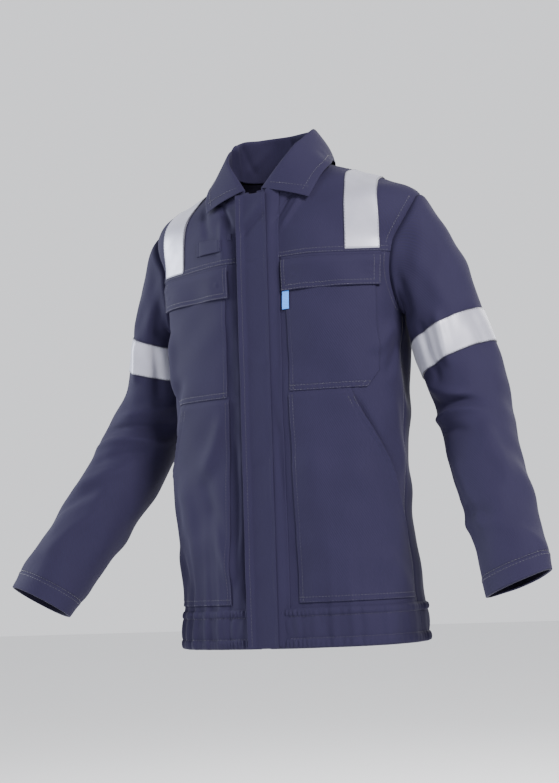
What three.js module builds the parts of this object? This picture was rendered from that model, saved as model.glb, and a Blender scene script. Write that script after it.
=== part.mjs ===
// Flame-retardant work jacket, hip length, worn shape: shirt collar, storm flap over a front zip,
// flapped chest pockets, slanted lower pockets, elastic waistband, reflective tapes.
// Millimetres, +Z up, +X to the wearer's left, -Y to the wearer's front.
// The body is modelled from the hem plane up, then shifted so that the hanger loop is the origin.
import * as THREE from "three";

// ---------------------------------------------------------------- driving dimensions
const HEM_HALF_WIDTH = 179; // half of the hem's width, side to side
const HEM_FRONT = 113; // centre line of the front, in front of the Z axis, at the hem
const FRONT_LEAN = 0.0335; // how far the straight front line leans back for each mm of height
const BACK_SEAM_V = 530; // height of the back yoke seam
const YOKE_V = 556; // height up the cloth of the front yoke seam
const BAND_HEIGHT = 55; // waistband
const NECK_V = 740; // cloth height of the neck seam
const ARMHOLE_LOW = 464; // cloth heights of the armhole's lowest and highest points
const ARMHOLE_HIGH = 626;
const CLOTH = 1.6; // body cloth, with its lining folded in
const PATCH = 1.2; // pocket and facing cloth
const TAPE = 0.7; // reflective tape
const TAPE_WIDTH = 50.8;
const TAPE_INSET = 9.9; // shoulder tape's outer edge, in from the armhole, at the yoke seam
const LAYER_GAP = 0.6; // air between two layers of cloth
const CLOSE_GAP = 0.25; // air between the small pieces stacked under the chest flap
const SEAM_GAP = 0.5; // air along a seam between two panels
const POCKET_INNER_X = 50; // inner edge of every pocket, from the centre line
const CHEST_POCKET_LOW = 358; // cloth height of the chest pocket's bottom edge
const CHEST_FLAP_HEIGHT = 50;
const CHEST_FLAP_CLOTH = 1.4;
const LOWER_POCKET_LOW = 62;
const STUD_RADIUS = 5;
const STUD_HEIGHT = 1.1;
const FLAP_HALF_WIDTH = 24; // storm flap
const FLAP_CLOTH = 1.4;
const FLAP_STAND = 4.8; // storm flap's underside, in front of the body cloth
const FLAP_TOP_Z = 652;
const ZIP_CHAIN = 2.6; // thickness of the zip's teeth
const ZIP_CHAIN_HALF = 3;
const ZIP_BRIDGE_SLOT = 0.5; // half of the slot between the two rows of teeth
const ZIP_TAPE_DEG = 8; // outer edge of the zip tape, round the body
const ZIP_TOP_Z = 632; // middle of the slider when the zip is closed
const SLIDER_LENGTH = 10;
const SLIDER_HALF_WIDTH = 4.5;
const SLIDER_PLATE = 1.2;
const PULL_LENGTH = 26;
const CUFF_HEM = 28;
const LOOP_SPAN = 60; // hanger loop
const LOOP_DEPTH = 13;
const LOOP_CORD = 3;

// Body rings: cloth height, half width, depth behind the axis, squareness,
// and the heights of the front, side and back points, then the ring's shift to the back.
const RINGS = [
  [0, HEM_HALF_WIDTH, 108, 2.5, 0, 0, 0, 0],
  [120, HEM_HALF_WIDTH - 2, 104, 2.5, 120, 120, 120, 0],
  [260, HEM_HALF_WIDTH - 2, 102, 2.5, 260, 260, 260, 0],
  [400, HEM_HALF_WIDTH + 4, 112, 2.5, 400, 400, 400, 0],
  [500, HEM_HALF_WIDTH + 11, 120, 2.4, 500, 500, 500, 0],
  [570, HEM_HALF_WIDTH + 22, 112, 2.2, 566, 566, 566, 3],
  [622, HEM_HALF_WIDTH + 30, 96, 1.75, 603, 627, 619, 11],
  [660, HEM_HALF_WIDTH - 3, 78, 1.6, 628, 660, 656, 17],
  [702, 126, 63, 1.7, 645, 686, 687, 18],
  [NECK_V, 76, 50, 2.0, 656, 706, 710, 15],
];

// Sleeve centre lines below the head: x, y, z, half width, half depth. The x values are for a left sleeve.
const SHOULDER_SHIFT = HEM_HALF_WIDTH - 179; // a wider body carries its sleeves further out
const SLEEVES = {
  left: [
    [244, 23, 452, 54, 62],
    [263, 28, 376, 57, 60],
    [278, 26, 322, 55, 57],
    [308, -18, 240, 52, 53],
    [345, -72, 155, 50, 50],
    [375, -118, 82, 48, 48],
  ],
  right: [
    [235, 30, 474, 41, 62],
    [254, 36, 380, 54, 58],
    [277, 24, 322, 54, 56],
    [308, -18, 240, 52, 53],
    [345, -72, 155, 50, 50],
    [375, -118, 82, 48, 48],
  ],
};
const HEAD = 100; // sleeve parameter at the first station; the head runs from 0 to here
const TAPE_START = { left: HEAD + 5, right: HEAD + 4 }; // sleeve parameter of the upper arm tape's top edge

// Collar, for the left half: share of the way round from front to back, then the fold line's point,
// and the leaf edge's place on the body (angle, cloth height, distance off the cloth).
const FOLD = [
  [0, 13, -88, 660],
  [0.25, 46, -50, 716],
  [0.5, 52, 8, 757],
  [0.75, 38, 44, 766],
  [1, 0, 54, 768],
];
const LEAF = [
  [0, 44, 706, 6],
  [0.12, 56, 714, 8],
  [0.5, 93, 720, 9],
  [0.75, 135, 718, 7],
  [1, 180, 716, 6],
];
const COLLAR_START = 8; // angle of the collar's front end

// ---------------------------------------------------------------- materials
const finish = (color, roughness, metalness = 0) =>
  new THREE.MeshStandardMaterial({ color, roughness, metalness });
const NAVY = finish(0x2c2b45, 0.9);
const NAVY_DARK = finish(0x211f35, 0.92);
const SILVER = finish(0xb9b9c4, 0.45);
const NAVY_TAPE = finish(0x1e1d30, 0.85);
const METAL = finish(0x9a9a9c, 0.35, 0.9);
const BLUE = finish(0x3f8fd0, 0.8);
const WHITE = finish(0xe9e9ea, 0.8);

// ---------------------------------------------------------------- small maths
const rad = THREE.MathUtils.degToRad;
const lerp = THREE.MathUtils.lerp;
const clamp = THREE.MathUtils.clamp;
const point = (x, y, z) => new THREE.Vector3(x, y, z);

// Smooth curve through the rows of a table; the first column is the parameter.
function along(table, t) {
  const last = table.length - 1;
  const chord = (i, k) => (table[i + 1][k] - table[i][k]) / (table[i + 1][0] - table[i][0]);
  const slope = (i, k) => {
    if (i === 0) return chord(0, k);
    if (i === last) return chord(last - 1, k);
    const before = table[i][0] - table[i - 1][0];
    const after = table[i + 1][0] - table[i][0];
    return (chord(i, k) * before + chord(i - 1, k) * after) / (before + after);
  };
  let i = 0;
  while (i < last - 1 && t >= table[i + 1][0]) i += 1;
  const h = table[i + 1][0] - table[i][0];
  const s = (t - table[i][0]) / h;
  return table[i].slice(1).map((_, j) => {
    const k = j + 1;
    return (
      (2 * s ** 3 - 3 * s ** 2 + 1) * table[i][k] +
      (s ** 3 - 2 * s ** 2 + s) * h * slope(i, k) +
      (3 * s ** 2 - 2 * s ** 3) * table[i + 1][k] +
      (s ** 3 - s ** 2) * h * slope(i + 1, k)
    );
  });
}

// Moves a surface point along the surface's normal; where(a, b) is the surface itself.
function offsetPoint(where, a, b, off, da, db, flip = 1) {
  const at = where(a, b);
  const across = where(a + da, b).sub(where(a - da, b));
  const up = where(a, b + db).sub(where(a, b - db));
  return at.addScaledVector(across.cross(up).normalize(), off * flip);
}

// Values from a to b, with every multiple of step between them.
function steps(a, b, step) {
  const values = [a];
  for (let k = Math.floor(a / step) + 1; k * step < b - 0.2 * step; k += 1) {
    if (k * step > a + 0.2 * step) values.push(k * step);
  }
  return [...values, b];
}
const evenly = (a, b, count) => Array.from({ length: count + 1 }, (_, i) => lerp(a, b, i / count));

// ---------------------------------------------------------------- solids from grids
// A closed sheet: outer(i, j) and inner(i, j) are its two faces on a grid of columns and rows.
function sheetGeometry(columns, rows, outer, inner, { ring = false, mirror = false } = {}) {
  const side = mirror ? -1 : 1;
  const positions = [];
  [outer, inner].forEach((face) => {
    for (let j = 0; j < rows; j += 1) {
      for (let i = 0; i < columns; i += 1) {
        const p = face(i, j);
        positions.push(side * p.x, p.y, p.z);
      }
    }
  });
  const index = [];
  const quad = (a, b, c, d) => {
    if (mirror) index.push(a, c, b, a, d, c);
    else index.push(a, b, c, a, c, d);
  };
  const id = (face, i, j) => face * columns * rows + j * columns + (i % columns);
  const spans = ring ? columns : columns - 1;
  for (let j = 0; j < rows - 1; j += 1) {
    for (let i = 0; i < spans; i += 1) {
      quad(id(0, i, j), id(0, i + 1, j), id(0, i + 1, j + 1), id(0, i, j + 1));
      quad(id(1, i, j), id(1, i, j + 1), id(1, i + 1, j + 1), id(1, i + 1, j));
    }
  }
  const top = rows - 1;
  for (let i = 0; i < spans; i += 1) {
    quad(id(1, i, 0), id(1, i + 1, 0), id(0, i + 1, 0), id(0, i, 0));
    quad(id(0, i, top), id(0, i + 1, top), id(1, i + 1, top), id(1, i, top));
  }
  if (!ring) {
    const end = columns - 1;
    for (let j = 0; j < rows - 1; j += 1) {
      quad(id(1, 0, j), id(0, 0, j), id(0, 0, j + 1), id(1, 0, j + 1));
      quad(id(0, end, j), id(1, end, j), id(1, end, j + 1), id(0, end, j + 1));
    }
  }
  const geometry = new THREE.BufferGeometry();
  geometry.setAttribute("position", new THREE.Float32BufferAttribute(positions, 3));
  geometry.setIndex(index);
  geometry.computeVertexNormals();
  return geometry;
}

// ---------------------------------------------------------------- the body surface
// One ring at each cloth height: a superellipse, deeper at the back, with its own height at front, side and back.
function bodyBase(deg, v) {
  const [half, back, n, zFront, zSide, zBack, shift] = along(RINGS, v);
  const s = Math.sin(rad(deg));
  const c = Math.cos(rad(deg));
  const front = HEM_FRONT - FRONT_LEAN * zFront + shift;
  const depth = c >= 0 ? front : back;
  const r = ((Math.abs(s) / half) ** n + (Math.abs(c) / depth) ** n) ** (-1 / n);
  return point(r * s, shift - r * c, zSide * s * s + (c >= 0 ? zFront : zBack) * c * c);
}
const body = (deg, v, off = 0) => offsetPoint(bodyBase, deg, v, off, 0.5, 0.5);

// The angle at which the body surface, at this cloth height, is x to the side; back chooses the rear one.
function angleAt(x, v, back = false) {
  let low = 0;
  let high = 90;
  for (let k = 0; k < 40; k += 1) {
    const mid = (low + high) / 2;
    if (bodyBase(back ? 180 - mid : mid, v).x < x) low = mid;
    else high = mid;
  }
  return back ? 180 - low : low;
}

// Edges of the armhole, as angles at each cloth height, and the height at each share of its way round.
const AROUND = 16;
const armholeHeight = (share) => lerp(ARMHOLE_LOW, ARMHOLE_HIGH, 0.5 + 0.5 * Math.cos(share * 2 * Math.PI));
const armholeShare = (v) => clamp((v - ARMHOLE_LOW) / (ARMHOLE_HIGH - ARMHOLE_LOW), 0, 1);
const armholeCurve = (v) => Math.sin(Math.PI * armholeShare(v)) ** 0.6;
const armholeFront = (v) => 90 - 11 * armholeCurve(v);
const armholeBack = (v) => 90 + 26 * armholeCurve(v);

const GRID_DEG = 7.5;
const GRID_V = 50;
const FINE_DEG = GRID_DEG / 2; // patches whose columns leave the body's own ones
const SHOULDER_V = 22.5; // the shoulder bends most, so its rows are closer
const SEAM_DEG = 0.1; // half of the gap beside a seam that runs up the body
const FRONT_EDGE_DEG = 3.6; // front panels stop here, beside the zip
const FIXED_FRONT_DEG = 75; // columns up to here, and from the next one, keep their angle beside the armhole
const FIXED_BACK_DEG = 127.5;

// Column angles squeeze towards the armhole so that the last one lies on its edge.
function frontAngle(deg, v) {
  if (deg <= FIXED_FRONT_DEG) return deg;
  const edge = armholeFront(v) - SEAM_DEG;
  return lerp(FIXED_FRONT_DEG, edge, (deg - FIXED_FRONT_DEG) / (90 - FIXED_FRONT_DEG));
}
function backAngle(deg, v) {
  if (deg > 180) return 360 - backAngle(360 - deg, v);
  if (deg >= FIXED_BACK_DEG) return deg;
  const edge = armholeBack(v) + SEAM_DEG;
  return lerp(edge, FIXED_BACK_DEG, (deg - 90) / (FIXED_BACK_DEG - 90));
}

// Rows shared by every layer on the body: its own rows outside the armhole, and the sleeve ring's
// heights beside it. Layers with the same rows and columns keep their gap all over.
function bodyRows(from, to) {
  const below = steps(0, ARMHOLE_LOW - 10, GRID_V);
  const beside = Array.from({ length: AROUND / 2 + 1 }, (_, i) => armholeHeight(i / AROUND));
  const above = evenly(ARMHOLE_HIGH, NECK_V, Math.round((NECK_V - ARMHOLE_HIGH) / SHOULDER_V)).slice(1);
  const rows = [...below, ...beside, ...above];
  const kept = rows.filter((v) => v > from + 1 && v < to - 1);
  return [from, ...kept.sort((a, b) => a - b), to];
}

// Rows beside the front line, which is straight up to the yoke.
const frontRows = (from, to) => [
  ...steps(from, YOKE_V + 20, 2 * GRID_V),
  ...bodyRows(ARMHOLE_HIGH - 24, to).slice(1),
];

// A sheet on the body between two angles and two cloth heights, from offset low to offset high.
function bodySheet(degs, vs, low, high, mirror = false, angle = (deg) => deg) {
  const face = (off) => (i, j) => {
    const p = body(angle(degs[i], vs[j]), vs[j], off);
    return vs[j] === 0 ? p.setZ(0) : p; // the hem lies in one plane
  };
  return sheetGeometry(degs.length, vs.length, face(high), face(low), { mirror });
}

const jacket = new THREE.Group();
function add(name, geometry, material) {
  const mesh = new THREE.Mesh(geometry, material);
  mesh.name = name;
  jacket.add(mesh);
  return mesh;
}
// Adds a piece and its mirror image; make(mirror, side) builds one.
function addPair(name, material, make) {
  add(`${name}_left`, make(false, "left"), material);
  add(`${name}_right`, make(true, "right"), material);
}

// ---------------------------------------------------------------- shell panels
function makePanels() {
  const frontColumns = steps(FRONT_EDGE_DEG, 90, GRID_DEG);
  const backColumns = steps(90, 270, GRID_DEG);
  const bandTop = BAND_HEIGHT;
  const panelRows = bodyRows(bandTop + SEAM_GAP, YOKE_V - SEAM_GAP / 2);
  const backRows = bodyRows(bandTop + SEAM_GAP, BACK_SEAM_V - SEAM_GAP / 2);
  addPair("front_panel", NAVY, (m) => bodySheet(frontColumns, panelRows, -CLOTH, 0, m, frontAngle));
  add("back_panel", bodySheet(backColumns, backRows, -CLOTH, 0, false, backAngle), NAVY);

  const yokeRows = bodyRows(YOKE_V + SEAM_GAP / 2, NECK_V);
  const backYokeRows = bodyRows(BACK_SEAM_V + SEAM_GAP / 2, NECK_V);
  addPair("front_yoke", NAVY, (m) => bodySheet(frontColumns, yokeRows, -CLOTH, 0, m, frontAngle));
  add("back_yoke", bodySheet(backColumns, backYokeRows, -CLOTH, 0, false, backAngle), NAVY);

  const bandRows = evenly(0, bandTop, 2);
  const bandColumns = steps(FRONT_EDGE_DEG, 90 - SEAM_DEG, GRID_DEG);
  const bandBack = steps(90 + SEAM_DEG, 270 - SEAM_DEG, GRID_DEG);
  addPair("waistband_front", NAVY, (m) => bodySheet(bandColumns, bandRows, -2, 0.3, m));
  add("waistband_back", bodySheet(bandBack, bandRows, -2, 0.3), NAVY);
}

// ---------------------------------------------------------------- inside pieces
function makeInside() {
  const low = -CLOTH - LAYER_GAP - PATCH;
  const high = -CLOTH - LAYER_GAP;
  const facingRows = frontRows(4, NECK_V - 4);
  addPair("front_facing", NAVY_DARK, (m) =>
    bodySheet(steps(ZIP_TAPE_DEG + 0.6, 26, GRID_DEG), facingRows, low - 0.4, high - 0.4, m));
  const facingLow = lerp(ARMHOLE_HIGH, NECK_V, 0.6);
  const facingDegs = steps(90 + GRID_DEG, 270 - GRID_DEG, GRID_DEG);
  add("neck_facing", bodySheet(facingDegs, bodyRows(facingLow, NECK_V - 4), low - 0.3, high - 0.3), NAVY_DARK);
  add("size_label", bodySheet(evenly(168, 192, 4), [650, 680], low, low + 0.6), WHITE);
  addPair("band_elastic", NAVY_DARK, (m) =>
    bodySheet(steps(36, 84, GRID_DEG), evenly(8, 42, 1), -3.8, -2.6, m));
}

// ---------------------------------------------------------------- zip
const frontLine = (x, z, off) => point(x, -HEM_FRONT + FRONT_LEAN * z - off, z);

// A straight bar in front of the axis: its section spans x and depth, and it leans with the front line.
function frontBar(x0, x1, z0, z1, low, high) {
  const xs = [x0, x1];
  const zs = [z0, z1];
  const face = (off) => (i, j) => frontLine(xs[i], zs[j], off);
  return sheetGeometry(2, 2, face(high), face(low));
}

function sliderGeometry() {
  // Side view of an I: front plate, thin bridge between the rows of teeth, back plate.
  const chainFront = -1.3;
  const chainBack = chainFront - ZIP_CHAIN;
  const clear = 0.5;
  const bridge = ZIP_BRIDGE_SLOT - 0.3;
  const outline = [
    [-SLIDER_HALF_WIDTH, chainFront + clear + SLIDER_PLATE],
    [-SLIDER_HALF_WIDTH, chainFront + clear],
    [-bridge, chainFront + clear],
    [-bridge, chainBack - clear],
    [-SLIDER_HALF_WIDTH, chainBack - clear],
    [-SLIDER_HALF_WIDTH, chainBack - clear - SLIDER_PLATE],
    [SLIDER_HALF_WIDTH, chainBack - clear - SLIDER_PLATE],
    [SLIDER_HALF_WIDTH, chainBack - clear],
    [bridge, chainBack - clear],
    [bridge, chainFront + clear],
    [SLIDER_HALF_WIDTH, chainFront + clear],
    [SLIDER_HALF_WIDTH, chainFront + clear + SLIDER_PLATE],
  ];
  const shape = new THREE.Shape(outline.map(([x, off]) => new THREE.Vector2(x, off)));
  const geometry = new THREE.ExtrudeGeometry(shape, { depth: SLIDER_LENGTH, bevelEnabled: false });
  // The extrusion's axes become: x, distance in front of the line, and the way down the line.
  const down = point(0, -FRONT_LEAN, -1).normalize();
  const out = point(0, -1, -FRONT_LEAN).normalize();
  const start = frontLine(0, ZIP_TOP_Z + SLIDER_LENGTH / 2, 0);
  geometry.applyMatrix4(new THREE.Matrix4().makeBasis(point(1, 0, 0), out, down).setPosition(start));
  return geometry;
}

function makeZip() {
  const chainFront = -1.3;
  const chainBack = chainFront - ZIP_CHAIN;
  const tapeInner = 1.8;
  const rows = frontRows(18, NECK_V - 6);
  const tapeHigh = -CLOTH - LAYER_GAP;
  addPair("zip_tape", NAVY_TAPE, (m) =>
    bodySheet([tapeInner, ZIP_TAPE_DEG], rows, tapeHigh - TAPE, tapeHigh, m));
  const teethLow = 16;
  const teethHigh = ZIP_TOP_Z + SLIDER_LENGTH / 2 + 2;
  add("zip_teeth_left",
    frontBar(ZIP_BRIDGE_SLOT, ZIP_CHAIN_HALF, teethLow, teethHigh, chainBack, chainFront), METAL);
  add("zip_teeth_right",
    frontBar(-ZIP_CHAIN_HALF, -ZIP_BRIDGE_SLOT, teethLow, teethHigh, chainBack, chainFront), METAL);
  add("zip_slider", sliderGeometry(), METAL);
  const pullTop = ZIP_TOP_Z + 3;
  add("zip_pull", frontBar(-3, 3, pullTop - PULL_LENGTH, pullTop, 0.9, 2.1), METAL);
  add("zip_bottom_box", frontBar(-4, 4, 5, teethLow - SEAM_GAP, chainBack, chainFront), METAL);
  add("zip_top_stop",
    frontBar(ZIP_BRIDGE_SLOT, ZIP_CHAIN_HALF, teethHigh + SEAM_GAP, teethHigh + 3.5, chainBack, chainFront), METAL);
}

// ---------------------------------------------------------------- storm flap
function makeStormFlap() {
  const seamRows = frontRows(3, NECK_V - 6);
  const from = angleAt(FLAP_HALF_WIDTH - 5, 200);
  const to = angleAt(FLAP_HALF_WIDTH + 4, 200);
  add("storm_flap_seam", bodySheet([from, to], seamRows, 0.8, FLAP_STAND - LAYER_GAP), NAVY);
  add("storm_flap",
    frontBar(-FLAP_HALF_WIDTH, FLAP_HALF_WIDTH, 1, FLAP_TOP_Z, FLAP_STAND, FLAP_STAND + FLAP_CLOTH), NAVY);
}

// ---------------------------------------------------------------- pockets
const pocketLow = 1.25 * LAYER_GAP; // chest pocket's underside and face
const pocketHigh = pocketLow + PATCH;
const studLow = pocketHigh + CLOSE_GAP;
const FLAP_LOW = studLow + STUD_HEIGHT + LAYER_GAP; // chest flap's underside
const FLAP_END_DEG = 75; // outer end of the chest pocket and its flap
const flapTop = YOKE_V - 3;

// Round disc standing on the body, with its underside at the given offset.
function discOnBody(deg, v, low, radius, height) {
  const geometry = new THREE.CylinderGeometry(radius, radius, height, 14);
  const foot = body(deg, v, low + height / 2);
  const normal = body(deg, v, low + height / 2 + 1).sub(foot).normalize();
  geometry.applyQuaternion(new THREE.Quaternion().setFromUnitVectors(point(0, 1, 0), normal));
  geometry.translate(foot.x, foot.y, foot.z);
  return geometry;
}

function makeChestPockets() {
  const innerDeg = angleAt(POCKET_INNER_X, 450);
  const flapInner = angleAt(POCKET_INNER_X - 7, 530);
  const degs = steps(innerDeg, FLAP_END_DEG - 2, FINE_DEG);
  const rows = bodyRows(CHEST_POCKET_LOW, flapTop - 14);
  // The lower outer corner is cut at a slant.
  const cut = (deg, v) => deg - 5.5 * clamp((CHEST_POCKET_LOW + 24 - v) / 24, 0, 1) * clamp((deg - 60) / 12, 0, 1);
  addPair("chest_pocket", NAVY, (m) => bodySheet(degs, rows, pocketLow, pocketHigh, m, cut));

  const flapDegs = steps(flapInner, FLAP_END_DEG, FINE_DEG);
  const flapRows = bodyRows(flapTop - CHEST_FLAP_HEIGHT, flapTop);
  addPair("chest_flap", NAVY, (m) =>
    bodySheet(flapDegs, flapRows, FLAP_LOW, FLAP_LOW + CHEST_FLAP_CLOTH, m));
  addPair("chest_flap_seam", NAVY, (m) =>
    bodySheet(flapDegs, [flapTop - 6, flapTop - 1], LAYER_GAP, FLAP_LOW - 0.4, m));

  const studV = flapTop - 0.55 * CHEST_FLAP_HEIGHT;
  [["inner", flapInner + 9], ["outer", FLAP_END_DEG - 5]].forEach(([place, deg]) => {
    add(`chest_stud_${place}_left`, discOnBody(deg, studV, studLow, STUD_RADIUS, STUD_HEIGHT), METAL);
    add(`chest_stud_${place}_right`, discOnBody(-deg, studV, studLow, STUD_RADIUS, STUD_HEIGHT), METAL);
  });
}

// The lower pocket's outer edge slants from its top corner to the side seam, and that edge is the way in.
const SLANT = [
  [LOWER_POCKET_LOW, 87],
  [150, 87],
  [250, 77],
  [300, 68],
  [350, 61],
];
function makeLowerPockets() {
  const innerDeg = angleAt(POCKET_INNER_X + 2, 200);
  const degs = steps(innerDeg, 90, FINE_DEG);
  const slantAt = (v) => {
    const k = SLANT.findIndex((row) => v <= row[0]);
    if (k <= 0) return SLANT[0][1];
    const [[v0, d0], [v1, d1]] = [SLANT[k - 1], SLANT[k]];
    return lerp(d0, d1, (v - v0) / (v1 - v0));
  };
  const squeeze = (deg, v) => innerDeg + ((deg - innerDeg) * (slantAt(v) - innerDeg)) / (90 - innerDeg);
  const between = [LOWER_POCKET_LOW, 100, 150, 200, 225, 250, 275, 300, 325];
  const rows = [...between, SLANT[SLANT.length - 1][0]];
  const low = 1.5 * LAYER_GAP; // its slanted columns cross the panel's, so it stands off a little more
  addPair("lower_pocket", NAVY, (m) => bodySheet(degs, rows, low, low + PATCH, m, squeeze));
}

// ---------------------------------------------------------------- small parts on the chest
function makeChestDetails() {
  add("radio_loop", bodySheet(evenly(28, 50, 4), evenly(578, 600, 1), 0.5, 2.1, true), NAVY);
  const tagDegs = [-6, -1, 4.5].map((x) => angleAt(POCKET_INNER_X + x, 490)); // over the pocket's inner edge
  const tagLow = pocketHigh + CLOSE_GAP + 0.1;
  add("side_tag", bodySheet(tagDegs, [476, 490, 504], tagLow, tagLow + LAYER_GAP), BLUE);
  add("neck_stud", discOnBody(20, 722, 0.4, 4, 1.6), METAL);
}

// ---------------------------------------------------------------- shoulder tapes
function makeShoulderTapes() {
  const frontX = bodyBase(armholeFront(YOKE_V), YOKE_V).x - TAPE_INSET; // the tape's outer edge at the front yoke seam
  const ridgeX = frontX - 0.4 * TAPE_WIDTH; // and on the shoulder, from where it runs straight back
  const columns = 5;
  const half = 16;
  const rows = 2 * half + 1;
  const place = (i, j, off) => {
    const share = Math.abs(j - half) / half; // 1 at either yoke seam, 0 on the shoulder ridge
    const rise = 1 - share * share;
    const back = j > half;
    const outer = back ? ridgeX : lerp(frontX, ridgeX, rise);
    const x = outer - 0.87 * TAPE_WIDTH * (1 - i / (columns - 1));
    let low = YOKE_V;
    let high = NECK_V;
    for (let k = 0; k < 40; k += 1) {
      const mid = (low + high) / 2;
      if (bodyBase(90, mid).x > x) low = mid;
      else high = mid;
    }
    const foot = (back ? BACK_SEAM_V : YOKE_V) + 4;
    const v = lerp(foot, low, rise);
    const deg = share === 0 ? 90 : angleAt(x, v, back);
    return body(deg, v, off);
  };
  const low = 1.6 * LAYER_GAP; // the ridge is sharp, so the tape stands off a little more
  const face = (off) => (i, j) => place(i, j, off);
  addPair("shoulder_tape", SILVER, (mirror) =>
    sheetGeometry(columns, rows, face(low + TAPE), face(low), { mirror }));
}

// ---------------------------------------------------------------- sleeves
// The armhole's loop, from its highest point down the front and up the back.
function armholeLoop(share) {
  const v = armholeHeight(share);
  return body(share <= 0.5 ? armholeFront(v) : armholeBack(v), v, 0.3);
}
const loopMiddle = Array.from({ length: AROUND }, (_, i) => armholeLoop(i / AROUND))
  .reduce((sum, p) => sum.add(p), point(0, 0, 0)).divideScalar(AROUND);

function sleeveTable(side) {
  let run = HEAD;
  return SLEEVES[side].map((row, i, all) => {
    if (i > 0) {
      const [x, y, z] = all[i - 1];
      run += Math.hypot(row[0] - x, row[1] - y, row[2] - z);
    }
    return [run, row[0] + SHOULDER_SHIFT, ...row.slice(1)];
  });
}

function makeSleeveSurface(side) {
  const table = sleeveTable(side);
  const end = table[table.length - 1][0];
  const centre = (s) => point(...along(table, s).slice(0, 3));
  const direction = (s) => centre(Math.min(s + 1, end)).sub(centre(Math.max(s - 1, HEAD))).normalize();
  const ringPoint = (share, s) => {
    const [, , , wide, deep] = along(table, s);
    const t = direction(s);
    const ahead = point(0, -1, 0).addScaledVector(t, t.y).normalize();
    const out = ahead.clone().cross(t).normalize();
    if (out.x < 0) out.negate();
    const turn = share * 2 * Math.PI;
    return centre(s).addScaledVector(out, wide * Math.cos(turn)).addScaledVector(ahead, deep * Math.sin(turn));
  };
  // The head is a Bezier sweep from the armhole's loop to the first ring.
  const start = point(1, 0, -0.12).normalize();
  const headPoint = (share, t) => {
    const top = 0.5 + 0.5 * Math.cos(share * 2 * Math.PI);
    const rim = armholeLoop(share);
    rim.addScaledVector(loopMiddle.clone().sub(rim).normalize(), SEAM_GAP);
    const ring = ringPoint(share, HEAD);
    const p1 = rim.clone().addScaledVector(start, 18 + 62 * top);
    const p2 = ring.clone().addScaledVector(direction(HEAD), -(25 + 78 * top));
    return rim.multiplyScalar((1 - t) ** 3)
      .addScaledVector(p1, 3 * (1 - t) ** 2 * t)
      .addScaledVector(p2, 3 * (1 - t) * t * t)
      .addScaledVector(ring, t ** 3);
  };
  const base = (share, s) => {
    const round = ((share % 1) + 1) % 1;
    return s < HEAD ? headPoint(round, Math.max(s, 0) / HEAD) : ringPoint(round, Math.min(s, end));
  };
  const surface = (share, s, off) => {
    const at = clamp(s, 1, end - 1);
    const across = base(share + 0.01, at).sub(base(share - 0.01, at));
    const up = base(share, at + 1).sub(base(share, at - 1));
    return base(share, s).addScaledVector(up.cross(across).normalize(), -off);
  };
  return { surface, base, end, table };
}

function sleeveSheet(surface, svalues, low, high, mirror) {
  const face = (off) => (i, j) => surface(i / AROUND, svalues[j], off);
  return sheetGeometry(AROUND, svalues.length, face(high), face(low), { ring: true, mirror });
}

function makeSleeve(side, mirror) {
  const { surface, end, table } = makeSleeveSurface(side);
  const elbow = table[2][0];
  const headRows = [0, 0.12, 0.3, 0.52, 0.76, 1].map((share) => share * HEAD);
  const upperRows = [...headRows, lerp(HEAD, elbow, 0.35), lerp(HEAD, elbow, 0.7), elbow - SEAM_GAP / 2];
  const lowerRows = evenly(elbow + SEAM_GAP / 2, end, 5);
  add(`upper_sleeve_${side}`, sleeveSheet(surface, upperRows, -CLOTH, 0, mirror), NAVY);
  add(`lower_sleeve_${side}`, sleeveSheet(surface, lowerRows, -CLOTH, 0, mirror), NAVY);
  const tapeRows = evenly(TAPE_START[side], TAPE_START[side] + TAPE_WIDTH, 3);
  const tapeLow = 1.25 * LAYER_GAP;
  add(`sleeve_tape_${side}`, sleeveSheet(surface, tapeRows, tapeLow, tapeLow + TAPE, mirror), SILVER);
  const hemHigh = -CLOTH - LAYER_GAP;
  add(`cuff_hem_${side}`, sleeveSheet(surface, [end - CUFF_HEM, end - 1], hemHigh - PATCH, hemHigh, mirror), NAVY_DARK);
}

// ---------------------------------------------------------------- collar
function makeCollar() {
  const half = (curve) => (u) => {
    const p = curve(u <= 1 ? u : 2 - u);
    return u <= 1 ? p : p.setX(-p.x);
  };
  const neck = half((u) => bodyBase(lerp(COLLAR_START, 180, u), NECK_V).add(point(0, 0, 0.6)));
  const fold = half((u) => point(...along(FOLD, u)));
  const leaf = half((u) => body(...along(LEAF, u)));
  const bulge = (p, amount) => p.addScaledVector(point(p.x, p.y - 10, 0).normalize(), amount);
  const stand = (u, w) => bulge(neck(u).lerp(fold(u), w), Math.sin(Math.PI * w));
  const fall = (u, w) => bulge(leaf(u).lerp(fold(u), w), 5 * Math.sin(Math.PI * w));
  const columns = [0, 0.06, ...evenly(0.12, 1.88, 16), 1.94, 2];
  const face = (where, ws, off) => (i, j) => offsetPoint(where, columns[i], ws[j], off, 0.01, 0.01);
  const sheet = (where, ws, low, high) =>
    sheetGeometry(columns.length, ws.length, face(where, ws, high), face(where, ws, low));
  add("collar_stand", sheet(stand, evenly(0, 1, 2), -1.4, 0), NAVY_DARK);
  add("collar_fall", sheet(fall, evenly(0, 1, 3), 0.75, 2.15), NAVY);
}

// ---------------------------------------------------------------- hanger loop
const loopEnd = body(180 - 26, 728, -(CLOTH + LAYER_GAP + PATCH + 2.2));
loopEnd.x = LOOP_SPAN / 2;
const loopPoint = (turn) =>
  point(
    loopEnd.x * Math.cos(turn),
    loopEnd.y - LOOP_DEPTH * Math.sin(turn),
    loopEnd.z - 3 * Math.sin(turn),
  );
// The hook bears on the back of the loop's middle, and that point is the part's origin.
const HOOK = loopPoint(Math.PI / 2).add(point(0, LOOP_CORD / 2, 0));

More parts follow.
